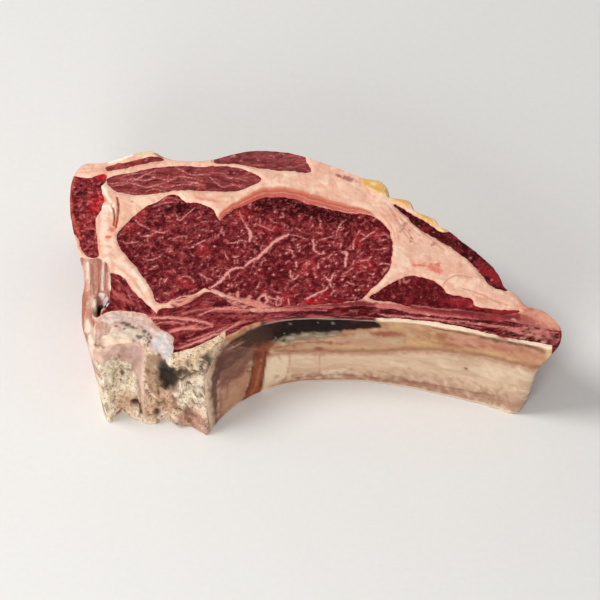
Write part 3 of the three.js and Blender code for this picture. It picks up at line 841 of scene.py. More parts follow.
DARK_RED = tone(84, 12, 18)
MEAT_MARKS_WITH_SHADOW = [
    (DARK_RED, 0.75, 1.2, 0.8, [
        (-19.9, -6.2, 6.2, 9.6), (17, 18.3, 4.1, 3.5), (-48, 9.5, 4.1, 5.2), (-10.4, 11.3, 4.1, 5.2),
        (-22.7, -0.9, 6.2, 5.2), (8.8, 27.1, 4.1, 3.5), (-15.8, 4.3, 4.1, 5.2), (-79.2, 24.2, 4.4, 2.5),
        (-94.7, 16.7, 2.9, 3.7), (-92.5, 2.9, 3.4, 4.4), (-79.6, -5.2, 4.4, 3.7), (-113.8, 18.5, 2.9, 2.5),
        (-78.4, -41.2, 2.9, 1.9), (-55.9, -33.1, 5.3, 1.9, 15), (-63.8, -49.6, 6.5, 2.7, 25),
        (-87.9, -28, 5.3, 4.5, -40), (-50.2, -25.4, 3.5, 2.7), (-45.4, -42.7, 5.3, 1.9, 35),
    ]),
    # The wide line along the eye's top edge is painted shadow, where the fat steps up above the meat
    (tone(54, 4, 9), 0.9, 1, 0.9, [
        (5, [(-26.7, 38.4), (-14.9, 38.6), (-2.1, 34.6), (8.2, 30.8), (14.9, 28.5)]), (-69.6, 35, 6.4, 3.9),
        (20.8, -24.3, 4.1, 2.5, 30), (-68.9, -57.2, 2.4, 3), (-121, 47.3, 2.3, 5.6, 5),
        (-118, 45.1, 1.5, 3.1), (-122.1, 33, 2, 3.7), (-110.2, 50.2, 1, 1.9),
    ]),
    (tone(158, 36, 42), 0.7, 1.2, 0.8, [
        (-2.9, -2.7, 3.4, 3.5), (-24.1, 22.7, 5.5, 2.6), (30.7, 18.3, 4.1, 2.6), (25.7, -2.7, 5.5, 5.2),
        (-20, 20.9, 3.4, 1.7), (4.6, -21.7, 4.1, 5.2), (-14.4, -23.4, 4.1, 3.5), (14, -26.7, 5.5, 2.5),
        (-35.8, 30.6, 3.4, 3.5), (22.5, 13, 2.1, 5.2), (-88.7, 31, 2.9, 3.7), (-93.9, 23.6, 2.5, 3.1),
        (-78.5, 41.9, 5.9, 2.2, -20), (-65.4, -13.9, 3.9, 3.1), (-56.4, 7.3, 2.9, 3.7),
        (91, -8.6, 7.5, 4, -55), (98, -31.8, 9, 1.6), (75, -27, 9, 2.4, -12),
    ]),
    (tone(196, 24, 34), 0.85, 1, 0.9, [
        (-112.3, 35.6, 2.4, 4.7, 5), (-110, 40.6, 2.2, 3.7), (-108.9, 56.6, 2.6, 2.1, -10),
        (-0.6, -25.6, 3.7, 1.7),
    ]),
    (tone(196, 84, 66), 0.7, 1, 0.8, [
        (1, [
            (-123.7, 55.3), (-125.3, 48.3), (-125.6, 38.1), (-123.9, 29.2), (-121.2, 20.4), (-119.1, 14.8),
        ]),
        (0.6, [(-108.6, 62), (-100.7, 64.6), (-92.8, 67.6), (-88.9, 68.6)]),
    ]),
    (tone(228, 148, 132), 0.9, 1.4, 1, [
        [
            (-45.5, -22.5), (-40, -21.6), (-33, -24.4), (-27, -25.6), (-22.4, -28.4), (-19, -31),
            (-32, -32), (-44, -26),
        ],
        (0.9, [(-43.2, -25), (-43, -20.4)]), (0.8, [(-39.4, -25), (-38.6, -19.4)]),
        (1, [(-34.6, -26), (-32.6, -22.4)]), (0.7, [(-29.6, -27), (-27.6, -22.2), (-24.6, -20.4)]),
        (0.7, [(-25.6, -28), (-23.6, -24)]),
    ]),
    (tone(104, 34, 42), 0.7, 1, 0.6, [(-113.8, 12.5, 3.4, 5.5), (-79.5, 68.4, 3.2, 1.4, -20)]),
    (DARK_RED, 0.9, 0.9, 0.5, [
        (0.55, [(-52.7, -33.9), (-45.3, -33.2), (-38, -33.2), (-31.8, -33.9)]),
        (0.6, [(-14.7, -33.6), (-6.1, -32.8), (2.4, -32.4), (14.7, -32.8), (26.9, -33.6), (43.3, -35.1)]),
        (0.6, [(33.2, -35.2), (48.6, -36.6), (64, -39.1), (79.4, -42.3), (94.7, -45.4), (102.4, -46.9)]),
        (0.5, [(102.4, -46.9), (110.1, -48.9), (114.7, -49.8), (122.2, -53.2)]),
    ]),
    (tone(216, 138, 124), 0.8, 1.6, 1.2, [(113.3, -45.6, 7.6, 3.2, -20), (101, -44, 5, 1.2, -12)]),
]
MEAT_TONES = {
    "rib_eye": tone(98, 19, 26), "eye_lobe": tone(93, 20, 27), "cap_muscle": tone(124, 50, 51),
    "back_strip": tone(132, 64, 64), "corner_strip": tone(138, 60, 52), "chine_muscle": tone(120, 26, 31),
    "outer_strip": tone(62, 11, 16), "flank_muscle": tone(84, 12, 17), "inner_wedge": tone(116, 32, 35),
    "rib_meat": tone(104, 28, 31),
}
PINK_FLAMES = [
    (0.9, [(-88, -36.2), (-78.5, -35.6), (-70.4, -36), (-60, -37.2), (-52, -40)]),
    (0.8, [(-77, -46.2), (-70.5, -43.6), (-63, -41.6), (-56.4, -41.2)]),
    (0.6, [(-58.8, -34.9), (-52, -31.4), (-44, -29.6), (-36, -29.8)]),
    (0.9, [(-69, -55.2), (-59.7, -51), (-50, -46.4), (-42, -41.6), (-35, -38.2)]),
    (0.5, [(-64.4, -50.2), (-55, -46.6), (-46, -42.4)]),
    (0.6, [(-80.7, -40.9), (-73.8, -38.9), (-66, -39.4)]),
    (0.9, [(-52, -31.6), (-44, -31.2), (-34, -31.6)]), (0.7, [(-66, -33.4), (-60, -31.4), (-54.6, -30.8)]),
]
STREAKY = (-54, -40)  # where the streaks of the meat beside the rib set in
PALE_STREAKS = [
    (tone(200, 106, 98), 0.8, 2.2, 1.2, PINK_FLAMES),
    (tone(230, 166, 148), 0.65, 1.8, 1.2, [
        (0.45, [(-74, -35.5), (-68.4, -36), (-60.8, -37)]),
        (0.4, [(-58, -50.2), (-50, -46), (-43.8, -42.2)]),
        (0.4, [(-72, -44.2), (-66, -42.2), (-60.8, -41.7)]),
    ]),
]
DARK_STREAKS = [
    (tone(84, 24, 32), 0.9, 1.2, 0.6, [
        (0.9, [
            (36.3, -30.9), (48.7, -32.4), (60.3, -34.7), (70.3, -36.6), (82.6, -38.7), (94.9, -40.2),
            (106.5, -41.7),
        ]),
        (0.8, [(-22, -33.6), (-12, -33.4), (2.4, -33.2), (14.7, -33.6), (26.9, -34.4), (36, -35)]),
    ]),
    (tone(194, 106, 99), 0.85, 1, 0.5, [
        (0.35, [(33.2, -32.9), (44.8, -34.3), (56.4, -36.4), (67.9, -37.7), (76.4, -38)]),
        (0.4, [
            (76.4, -39.2), (87.2, -40.6), (98.7, -42.4), (107.2, -43.4), (116.4, -44.8), (122.5, -45.3),
        ]),
        (0.4, [(60, -38), (72, -40), (84, -42)]), (0.5, [(-20, -31.6), (-8, -31.2), (6, -31.4)]),
    ]),
    (tone(92, 22, 24), 0.9, 1, 0.4, [
        (0.45, [
            (36, -34.6), (56.4, -37.4), (71.7, -40.8), (87.1, -44.2), (102.5, -47.2), (113.9, -50.2),
            (122.3, -52.8),
        ]),
    ]),
    (tone(232, 184, 158), 0.85, 0.8, 0.3, [
        (94.8, -45.1, 1.2, 0.5), (98.6, -46.1, 1.3, 0.5), (105, -48.4, 1.6, 0.7), (115.4, -51.2, 1.6, 0.6),
        (109, -46.4, 1.4, 0.6), (112.5, -47.4, 1.2, 0.6), (83.4, -39.5, 1, 0.7),
    ]),
]
EDGE_LINE = 1.5  # depth of the pale line along the front edge of the meat beside the rib
EDGE_LINE_END = -18  # where along x it ends
WEDGE_BANDS = (-52, 9.0, 2.2, 6.2)  # angle, length, width and seed of the streaks in the wedge


def near_top(points):
    """How much a mark of the cut face still shows further down the sides."""
    return smoothstep(points[:, 2], *MARK_FADE)


def edge_streaks(points, scale, seed):
    """How far each point is from the steak's edge, and soft random values drawn out along that edge."""
    depth = nearest(points[:, :2], EDGE_LOOP)
    return depth, rough(np.stack([points[:, 0], depth, points[:, 2]], 1) * scale, 1.0, 3, seed)


def streaked(points, angle, length, width, seed):
    """Soft random values, drawn out along a direction on the cut face."""
    turn = math.radians(angle)
    x, y, z = points.T
    along_it = x * math.cos(turn) + y * math.sin(turn)
    across_it = y * math.cos(turn) - x * math.sin(turn)
    return rough(np.stack([along_it / length, across_it / width, z * 0.05], 1), 1.0, 3, seed)


def meat_coats(points, node):
    """The red of one muscle, with brighter, darker and paler places."""
    coats = Coats(points, MEAT_TONES[node])
    coats.cloud(DARK_RED, 6.0, 0.05, 0.5, 0.5, seed=14.0)
    coats.cloud(tone(144, 42, 46), 5.0, 0.05, 0.5, 0.5, seed=24.0)
    if node == "rib_meat":
        x = points[:, 0]
        depth, streaks = edge_streaks(points, (0.05, 0.9, 0.03), 3.3)
        amount = smoothstep(x, *STREAKY)
        coats.lay_where(tone(186, 92, 90), 0.35 * amount, streaks, 0.12, 0.45)
        coats.lay_where(DARK_RED, 0.9 * amount, -streaks, -0.14, 0.14)
        coats.marks(TOP, PALE_STREAKS + DARK_STREAKS, near_top(points))
        pale_edge = EDGE_LINE - depth + 0.5 * coats.wobble
        coats.lay_where(tone(214, 118, 100), 0.7 * (x < EDGE_LINE_END), pale_edge, 0, 1)
    if node == "inner_wedge":
        bands = streaked(points, *WEDGE_BANDS)
        coats.lay_where(tone(196, 96, 92), 0.75, bands, 0.1, 0.45)
        coats.lay_where(DARK_RED, 0.85, -bands, 0.05, 0.4)
        coats.marks(TOP, PALE_STREAKS, near_top(points))
    coats.marks(TOP, MEAT_MARKS_WITH_SHADOW, near_top(points))
    return coats


WRINKLES = [
    (0.4, [(38.6, 36.5), (43.2, 27.4), (45.5, 20.3), (49.3, 14.3)]),
    (0.34, [(41.7, 28.4), (47.9, 20.3), (50.4, 15.3)]), (0.34, [(44.7, 28.4), (50.9, 21.3), (54.4, 17.3)]),
    (0.34, [(50.3, 26.4), (59.5, 15.3), (66.4, 8.3)]),
    (0.47, [(65.2, -15.6), (68.4, -10.6), (73.9, -8.6), (80.1, -10.6)]),
    (0.4, [(82.9, -23.4), (86.8, -24.4), (89.9, -23.9)]),
    (0.4, [(76, -17.8), (84, -21), (91.5, -25.5), (98, -28.1)]),
]
# A crevice in the fat beside the chine muscle, sunk into the face. The brown laid along it is partly its
# own colour and partly painted shade.
CREVICE = [
    (0.5, [(-101.2, 41.9), (-100.5, 38.1), (-100.4, 33), (-100.6, 29.2), (-101.4, 22.9)]),
    (0.5, [(-103.8, 38.1), (-102.7, 33), (-102.1, 29.2), (-102.5, 24.2)]),
]
# The salmon rim of fat above the eye, darkened by painted shade: its width along x, and its coats from
# outside inwards
RIM_WIDTH = [(-50, 0.4), (-40, 0.6), (-26, 1), (4, 1), (18, 0.8), (27, 0.45), (33, 0)]
RIM_ZONE = (26, 30)  # along y, where it sets in
# The darker coats are painted shade on the fat's slope down into the eye, over the fat's own salmon colour
RIM_COATS_WITH_SHADE = [
    (tone(211, 123, 96), 1, 7.4, 2.2), (tone(194, 93, 69), 1, 5.2, 1.6),
    (tone(228, 152, 126), 0.7, 3.1, 0.6), (tone(192, 88, 76), 1, 2.5, 0.7),
]
YELLOW_FLAKES = [
    [(24, 55), (33, 54.5), (38.5, 50), (39, 45.5), (36.5, 43.6), (33, 44.6), (29, 47.8), (25, 50.5)],
    [(37, 44), (44, 42.5), (50, 39.6), (50, 36.6), (46.5, 35.4), (43, 38.4), (39, 41)],
    [(51, 33.6), (55.6, 31.6), (60, 29.6), (63.6, 26.4), (63, 23.6), (58, 25.8), (53, 29.4)],
    [(63.6, 22.4), (68, 21.8), (70.5, 19.4), (66.5, 18.6)],
]
MIXED_SEAM = [
    (2.4, [(-70, -28.6), (-60, -24.4), (-53, -22.8), (-44, -25.6), (-34, -29.6), (-24, -31)]),
    (2.4, [(-26.4, -30.6), (-7.2, -30.4), (10, -29.8), (24, -27.2)]),
    (1.6, [(24, -27.2), (38, -28.6), (53.5, -31.6), (68.6, -34), (83.7, -36.4), (100, -38.2)]),
    (3, [(104, -36.4), (112, -40.4), (124, -45.6)]),
]
FAT_MARKS = [
    (tone(238, 178, 150), 0.6, 1, 0.6, [(1.5, [(-60.7, 42.7), (-54.5, 41.6), (-48, 40)])]),
    (tone(216, 124, 98), 0.6, 1.2, 0.6, [(0.8, [(-60.7, 41.7), (-54.5, 40.6), (-49, 38.6)])]),
    (tone(222, 150, 122), 0.7, 1.4, 0.6, [
        (0.35, [(33.9, 32.4), (37.4, 27.4), (40.2, 20.9), (41.6, 13.4)]),
        (0.35, [(34.7, 35.6), (38.9, 29.8), (42, 22.6), (43.7, 14.5)]),
        (0.4, [(36, 38.4), (42.5, 30.6), (46.3, 24.7), (50.4, 18.7)]),
        (0.4, [(49.5, 27.7), (54.2, 23.9), (59.6, 20.6), (64.3, 15.4), (68.8, 9.8)]),
    ]),
    (tone(184, 96, 86), 0.7, 1.2, 0.9, [
        (45.5, 21.7, 0.9, 1.3, -50), (43.9, 19.6, 0.6, 0.6), (49.4, 15.7, 0.7, 0.7),
        (46.4, 24.7, 0.7, 1.4, -50), (48.7, 20.7, 0.6, 0.8), (61, 11.8, 0.8, 1.6, -50),
    ]),
    (tone(198, 134, 106), 0.6, 1.8, 0.6, WRINKLES),
    # Brown along the crevice: partly its own colour, partly painted shade
    (tone(146, 74, 54), 0.9, 0.9, 0.4, CREVICE),
    (tone(252, 234, 212), 0.85, 0.8, 0.5, [
        (0.7, [(-109.2, 49.5), (-107.6, 45.1), (-105, 39.4), (-103.2, 36.2)]),
        (0.5, [(-109.4, 36.2), (-106, 36.8), (-103.7, 33)]),
    ]),
    (tone(250, 226, 202), 0.7, 1.8, 1.4, [
        (1.7, [(-107.4, 34.3), (-108.1, 25.5), (-107.9, 16.7), (-106.2, 7.3)]),
        (1.3, [(-105.1, 2.3), (-99.2, -0.2), (-93.3, -4.6), (-88.3, -10.8), (-85.2, -19.4)]),
        (94, -15.5, 6, 2, -35),
    ]),
    (tone(220, 160, 136), 0.7, 0.8, 0.5, [
        (0.6, [(-110.4, 30.2), (-110.7, 21), (-110, 12.9), (-108.9, 6.6)]),
        (0.5, [(-103.1, -0.8), (-100.1, -3.3), (-95.2, -7.7), (-90, -15), (-84.5, -26)]),
        (0.4, [(-121.9, 60.7), (-116.5, 61.7), (-109.5, 60.7)]),
        (0.4, [(-121.3, 58.8), (-114.9, 59.2), (-109, 59.4)]),
    ]),
    (tone(222, 168, 84), 0.9, 1.8, 0.9, YELLOW_FLAKES),
    # Painted highlights: paler yellow along the edges of the raised yellow flakes and in spots on them
    (tone(242, 214, 152), 0.7, 1.2, 0.9, [
        (0.8, [(28, 55.5), (36, 51.5), (38.4, 46), (36.6, 43.2)]),
        (0.7, [(42, 43), (49, 39.6), (49.8, 36.6)]), (0.6, [(53, 33), (60, 29), (63, 25)]),
        (30.5, 50.8, 2.2, 1.6, 30), (65.5, 21.4, 2.2, 0.8, -20),
    ]),
    (tone(150, 34, 38), 0.95, 1, 0.4, [[
        (49, -26.4), (58.8, -28), (70.4, -29.6), (81.2, -31.4), (92, -32.4), (102.8, -31.8), (105.1, -33.9),
        (101.2, -37.2), (91.9, -37.6), (82.6, -36.1), (71.8, -35.2), (62.6, -33.4), (52.6, -31.6),
        (48, -29.2),
    ]]),
    (tone(106, 22, 28), 0.85, 1.2, 0.8, [
        (78, -33.4, 9, 1.2, -9), (62, -30.6, 8, 0.9, -12), (97, -35.4, 5, 1, -6),
    ]),
    (tone(198, 106, 98), 0.8, 1.2, 0.6, [
        (0.4, [
            (33, -28.9), (40, -29.4), (49.5, -32.1), (64.1, -34.4), (76.5, -36), (87.2, -37.8),
            (102.7, -38.8),
        ]),
        [
            (31, -27.2), (37.9, -25.8), (44.9, -26.7), (49.1, -28.8), (47.2, -30.4), (40.2, -30.1),
            (33.2, -30.7),
        ],
    ]),
    (tone(250, 240, 222), 0.9, 0.5, 0.4, [[
        (-107.6, 64.2), (-103.8, 68.1), (-99.8, 70.7), (-94.9, 71.9), (-93.1, 70.1), (-96.8, 67.9),
        (-103.7, 65.4),
    ]]),
    (tone(226, 202, 162), 0.9, 0.5, 0.4, [[
        (-92.9, 70), (-89, 73.6), (-84.5, 73.9), (-81.5, 71.8), (-85, 70.6), (-88.9, 70), (-92.4, 69),
    ]]),
    (tone(150, 76, 70), 0.8, 0.8, 0.8, [
        (-79.2, 69.8, 3.4, 1.2, -25), (17.6, 55, 3.3, 1.4, -25), (13, 56.8, 2, 0.9, -25),
    ]),
    (tone(226, 104, 88), 0.8, 1, 1.2, [
        (60.8, -4.7, 4.2, 1.8, -25), (53, -2.7, 3.4, 0.9, -10), (62.5, -2, 1.2, 2.4),
    ]),
    (tone(230, 162, 130), 0.7, 1, 0.8, [
        (86, -24.4, 4.1, 1.2, -10), (116.6, -37.2, 8, 3.4, -30), (106, -31, 6, 2.4),
    ]),
    (tone(184, 92, 72), 0.7, 1, 0.9, [(107.5, -31.3, 3.1, 1.4), (109.5, -36.8, 3.4, 1, -30)]),
    (tone(222, 88, 54), 0.85, 0.8, 0.8, [
        (-103.6, 21, 1.4, 1.9), (-105.5, 16.3, 1.9, 1, 10), (-101.9, 25, 0.6, 2.4),
    ]),
    (tone(150, 120, 84), 0.7, 0.8, 0.3, [
        (-93.7, 39, 0.8, 0.6), (45.8, 23.6, 1.2, 0.7), (49.4, 13.3, 0.8, 0.6),
    ]),
    (tone(206, 60, 56), 0.7, 1, 1, [(-109.3, 57.2, 2.2, 1.4), (-108.5, 40.5, 1.4, 2.4)]),
]
FAT_TIP = (98, 110)  # along x, where fat turns brown towards the rib's end


def fat_coats(points):
    """Cream and peach, salmon with painted shade above the eye, yellow flakes at the outside, red where
    meat mixes in.
    """
    coats = Coats(points, tone(238, 188, 162))
    coats.cloud(tone(228, 172, 146), 11.0, -0.05, 0.4, 0.7)
    coats.cloud(tone(246, 212, 184), 7.0, 0.0, 0.4, 0.65, seed=101.0)
    coats.cloud(tone(224, 156, 132), 4.0, 0.2, 0.5, 0.5, (1, 0.6, 1), 111.0)
    flat = points[:, :2]
    x, y = flat.T
    gap = nearest(flat, LOOPS["rib_eye"]) + 0.35 * coats.wobble
    width = along(RIM_WIDTH, x)
    upper = smoothstep(y, *RIM_ZONE) * (width > 0.02)
    place = gap / np.maximum(width, 0.05)
    for colour, amount, reach, soft in RIM_COATS_WITH_SHADE:
        coats.lay_where(colour, amount * upper, reach - place, 0, soft)
    coats.lay_where(tone(232, 176, 156), 0.7 * upper * smoothstep(x, -2, 6), 0.7 - gap, 0, 0.4)
    everywhere = np.minimum(nearest(flat, np.vstack([LOOPS[node] for node in RED])) + 0.4 * coats.wobble, 4)
    coats.lay_where(tone(220, 134, 116), 0.7 * (1 - upper), 0.9 - everywhere, 0, 0.8)
    mixed = strength(flat, MIXED_SEAM) + 0.5 * coats.wobble
    streaks = edge_streaks(points, (0.08, 0.8, 0.05), 13.0)[1]
    coats.lay_where(tone(214, 136, 116), 0.9, mixed, -0.5, 0.3)
    coats.lay_where(tone(164, 68, 64), 0.8 * smoothstep(mixed, -0.5, 0.3), x, -26, -8)
    coats.lay_where(tone(142, 42, 46), 0.9 * smoothstep(mixed, -0.2, 0.4), streaks, -0.25, 0.1)
    coats.lay_where(tone(104, 24, 32), 0.8 * smoothstep(mixed, -0.2, 0.3), streaks, 0.2, 0.4)
    tip = smoothstep(x, *FAT_TIP)
    coats.lay(tone(186, 114, 96), 0.7 * tip)
    coats.lay_where(tone(168, 78, 74), 0.7 * tip, streaks, 0.0, 0.3)
    coats.marks(TOP, FAT_MARKS, near_top(points))
    return coats


# The rib, the sawn bone, the membrane, the cartilage and the ligament
RIDGE = [
    (0, -52.2), (3, -52.3), (11, -53.2), (19, -54), (27, -54.5), (34, -54.8), (39, -53), (43, -50),
    (47, -46), (50, -41), (52, -36),
]
RIB_MARKS_WITH_SHADOW_AND_HIGHLIGHT = [
    (tone(168, 112, 80), 0.8, 4, 1.6, [[
        (-46, 26), (-37.5, 24.5), (-31.4, 24.2), (-31.4, 15.8), (-33.4, 3.8), (-35.9, -4), (-49, -4),
        (-48, 16),
    ]]),
    (tone(188, 144, 112), 0.7, 3, 1.4, [[(-46, 15), (-38.5, 14), (-37, 6), (-39, -4), (-46, -4)]]),
    (tone(222, 196, 166), 0.85, 3, 1, [[
        (-23, 23.7), (-14.8, 25), (-12.9, 17.9), (-13, 6.2), (-18.5, 4.1), (-25.4, 5.6), (-24.7, 17.2),
    ]]),
    (tone(176, 126, 96), 0.7, 1.2, 0.5, [
        (0.4, [(-12.3, 25.4), (-12.8, 13.9), (-14.5, 4.5)]), (0.28, [(2.8, 23), (3.2, 12), (2.6, 5.9)]),
    ]),
    (tone(150, 92, 78), 0.5, 1.4, 0.9, [
        (12.3, 24.2, 3.5, 1.2), (3.7, 23.4, 3, 1.2), (-17.5, 22.4, 0.8, 2.6, 15),
    ]),
    # Painted shadow along the top of the rib, under the membrane that overhangs it
    (tone(168, 122, 94), 0.75, 2, 0.8, [
        (1.5, [
            (-22, 27.4), (-7, 24.6), (14, 23.8), (33, 24.6), (50, 28.9), (64, 32), (88, 34.6), (104, 34.8),
            (112, 33.6),
        ]),
    ]),
    (tone(144, 96, 76), 0.85, 2.8, 1.6, [
        (3.8, [
            (-16, 1.2), (-6.1, 1.4), (12, 2.5), (28.6, 2.8), (45.5, 3.4), (57.2, 4.4), (72.8, 5.6),
            (94.5, 6.5), (112, 8),
        ]),
    ]),
    (tone(130, 74, 66), 0.65, 1.6, 1, [
        (0.7, [(-10, 4.4), (2, 5.2), (18.1, 5.8), (29.2, 5.2), (36.7, 4)]),
        (0.6, [(46, 5), (60, 6.5), (78, 7.6), (92, 9)]),
    ]),
    # Painted highlight: a thin pale line along the rib's rounded bottom edge
    (tone(232, 206, 180), 0.85, 0.9, 0.3, [
        (0.6, [(-44, 1.2), (-28, 0.9), (-6, 0.7), (20, 0.7), (50, 0.7), (80, 1), (104, 1.2)]),
    ]),
    (tone(110, 76, 56), 0.9, 0.9, 0.2, [(77.2, 23.7, 0.9, 0.9), (84.6, 26.2, 0.4, 0.4)]),
    (tone(176, 140, 116), 0.6, 1.6, 1.2, [(99.5, 12, 9, 5), (60, 12, 14, 3), (104, 3, 6, 3)]),
]
# Marks that run over the rib's head and the membrane alike
WALL_MARKS = [
    (tone(114, 62, 46), 0.9, 5, 2, [[
        (-51, 43), (-46, 48), (-35.5, 48), (-24, 46), (-20, 40), (-21, 33), (-25, 28.5), (-31, 27.7),
        (-33, 21.2), (-39, 19.5), (-46, 20), (-50, 24.1),
    ]]),
    (tone(88, 44, 34), 0.8, 3.6, 1.8, [[
        (-48, 39), (-43, 42.5), (-36, 42), (-31, 40.5), (-33, 34), (-40, 31), (-48, 30),
    ]]),
    (tone(138, 80, 48), 0.85, 4, 1.4, [[
        (-30.5, 40), (-24, 40), (-20, 36.5), (-21.5, 30), (-23, 24), (-29.8, 25.6), (-31.5, 33),
    ]]),
    (tone(130, 54, 18), 0.97, 1.4, 0.7, [[
        (-30.4, 33), (-24.4, 33), (-24, 26.8), (-25.3, 17.2), (-26.2, 8.4), (-27.2, -2), (-37.5, -2),
        (-33.6, 8.3), (-32.1, 16.2),
    ]]),
    (tone(172, 104, 66), 0.7, 1.2, 1, [
        (0.7, [(-27.6, 20), (-28.9, 12), (-30.4, 5)]), (-31, 3, 1.2, 2.2), (-27, 24, 0.8, 1.4),
        (0.5, [(-34.2, 7), (-36, 0)]),
    ]),
    (tone(94, 36, 16), 0.9, 1.4, 0.7, [
        (0.7, [(-30.2, 32), (-31.5, 18), (-33.2, 8), (-36.6, 0)]),
        (0.6, [(-24.5, 30), (-25.5, 16), (-27.2, 4)]), (-28.6, 28.5, 1.8, 3, 10),
    ]),
    (tone(150, 94, 66), 0.7, 1.6, 1.2, [
        (0.9, [(-21, 31), (-14.8, 30.6), (-7.4, 32.4), (0, 32.8), (12, 31.9)]), (-13, 26.6, 2, 1.2),
    ]),
    (tone(146, 74, 62), 0.75, 1.4, 0.8, [
        (11.7, 31.9, 2.4, 1.3), (2.5, 27.4, 1.6, 1.4), (35.6, 40.3, 6.2, 1.8), (42, 41, 3, 1),
    ]),
    (tone(72, 34, 30), 0.85, 1.8, 0.8, [
        (0.8, [(-49.5, 37.6), (-45.8, 43.6), (-42, 46.6), (-36, 48), (-28, 49), (-20.8, 50)]),
    ]),
    (tone(198, 168, 134), 0.75, 1, 0.4, [
        (0.32, [(-45.6, 42.4), (-41.6, 42.7), (-37.3, 42.8), (-33.1, 43), (-28.4, 43.2)]),
    ]),
    (tone(172, 128, 96), 0.85, 1.4, 0.6, [
        (1.4, [(-55, 50.5), (-49.6, 49.8), (-45.5, 49.2), (-41.2, 49.6), (-36, 50.2)]),
    ]),
    (tone(214, 116, 98), 0.8, 1.4, 0.6, [
        (0.8, [(-52.5, 51.6), (-45.2, 51.8), (-40.4, 51.9), (-31.2, 51.9), (-22, 51.8), (-17, 51.9)]),
    ]),
    (tone(92, 38, 30), 0.9, 1.4, 0.8, [[
        (-46.8, 41), (-50.2, 36.8), (-51.9, 33.3), (-52.4, 23.8), (-51, 9.4), (-50.4, -2), (-48.9, -2),
        (-48.9, 11.8), (-48.9, 23), (-47.8, 29.7), (-45.4, 34.4),
    ]]),
    (tone(150, 88, 72), 0.7, 1.4, 0.8, [
        (0.9, [(-47.8, 24), (-47.6, 12), (-48, 0)]), (0.5, [(-44, 20), (-44.5, 10)]),
    ]),
]
BROWN_END, DARK_END = -34, -28  # where along x the stains of the rib's head end
DARK_FOOT = 18  # height above which they are dark
RIDGE_BACK, RIDGE_TOP = -46, 45  # the pale ridge shows in front of the one and below the other


def rib_coats(points):
    """Beige bone, with blotches low down, stains near the head, and sawn bone at the head itself."""
    coats = Coats(points, tone(206, 176, 147))
    x, y, z = points.T
    coats.cloud(tone(186, 154, 126), 6.0, 0.0, 0.4, 0.7, (0.35, 1, 1.3))
    coats.cloud(tone(218, 194, 166), 8.0, 0.0, 0.5, 0.6, (0.4, 1, 1.2), 61.0)
    coats.cloud(tone(196, 148, 124), 3.0, 0.1, 0.45, 0.3, (0.7, 1, 1.0), 65.0)
    coats.cloud(tone(180, 144, 116), 1.6, 0.25, 0.55, 0.2, (0.5, 1, 0.8), 67.0)
    coats.marks(FRONT, RIB_MARKS_WITH_SHADOW_AND_HIGHLIGHT)
    coats.marks(FRONT, WALL_MARKS)
    dark = (x < DARK_END) * (z > DARK_FOOT)
    coats.cloud(tone(150, 104, 84), 2.6, 0.0, 0.5, 0.35 * (x < BROWN_END), (0.4, 1, 1), 71.0)
    coats.cloud(tone(84, 48, 40), 2.2, 0.1, 0.5, 0.4 * dark, (0.7, 1, 0.7), 73.0)
    coats.lay(sawn_coats(points).colour, sawn_share(x, z))
    ridge = 1.0 - np.abs(x - ridge_place(z)) / 0.8 + 0.4 * coats.wobble
    on_wall = (y < RIDGE_BACK) * (z < RIDGE_TOP)
    coats.lay_where(tone(226, 190, 160), 0.85 * on_wall, ridge, 0.0, 0.9)
    return coats


def ridge_place(z):
    """Where the sawn face of the rib's head ends, in a ridge that runs up the front wall."""
    return along(RIDGE, z)


def sawn_share(x, z):
    return 1 - smoothstep(x, ridge_place(z) - 1.2, ridge_place(z) - 0.2)


CREAM = tone(236, 218, 196)
FACET = [[
    (-110, 53), (-107.7, 53), (-97.9, 53), (-86.4, 53), (-85.4, 51.1), (-85.7, 38.3), (-86.8, 28.2),
    (-85.5, 20.4), (-86.3, 11.5), (-88.4, 8.5), (-88.7, 19.6), (-89.2, 26.8), (-91.4, 31.6), (-92.5, 36.1),
    (-95.9, 38.1), (-98.6, 41.4), (-100.1, 42.7), (-103.7, 42.6), (-106.5, 41.3), (-112.5, 41.7),
]]
SAWN_TONES = [
    (CREAM, 0.85, 0.9, 0.8, [
        (-103.8, 41, 4.5, 5.8), (-93.6, 34.1, 2.6, 2.6), (-90.9, 22.7, 2.2, 6.7), (-97.4, 21.7, 2.6, 5.7),
        (-104.1, 9.6, 3.8, 8.7), (-105.1, 33.6, 3, 5.8), (-106.7, 22.7, 2.4, 6.7), (-63.5, 24.7, 6.3, 5.4),
        (-56.4, 36.2, 2.4, 3.6), (-59.5, 19.9, 4.5, 4.2), (-58.2, 30.4, 3.2, 4.2), (-67.1, 19.2, 3, 4.2),
        (-93, 3.5, 4.5, 2.4), (-85, 3.6, 4.5, 2.4), (-78.5, 4, 3, 2), (-96.5, 13.5, 2.6, 2),
    ]),
    (tone(188, 178, 150), 0.5, 1.2, 0.9, [
        (-101.2, 33.6, 2.4, 5.7), (-94.8, 29.4, 1.6, 3.7), (-62, 28, 2, 3, 30),
    ]),
    (tone(238, 222, 188), 0.6, 2, 1.6, [
        (-104, 36, 3.4, 4), (-102.6, 20, 3.4, 6), (-99.6, 28, 2, 4), (-94, 24, 2.4, 4), (-106, 12, 3, 5),
        (-62, 22, 4, 4),
    ]),
    (tone(198, 152, 120), 0.75, 1.2, 1, [
        (-96, 9.7, 4, 5.8), (-83.5, 9.8, 5.8, 6.7), (-78.8, 16, 3.4, 4.8), (-74, 12, 3, 6), (-90, 13, 3, 3),
    ]),
    (tone(160, 124, 95), 0.85, 1.8, 1.2, [[
        (-84.8, 43), (-82, 46), (-77.6, 47.8), (-75.6, 43.9), (-77.4, 38), (-77.5, 25.3), (-80.5, 20.3),
        (-84.5, 21.3), (-85, 32.3),
    ]]),
    (tone(172, 122, 104), 0.8, 2.4, 1.4, [[
        (-71.9, 6.3), (-66.1, 10.5), (-59.1, 13.4), (-53.8, 10.8), (-51.8, 2.4), (-52, -4), (-61.6, -4),
        (-72.4, -4),
    ]]),
]
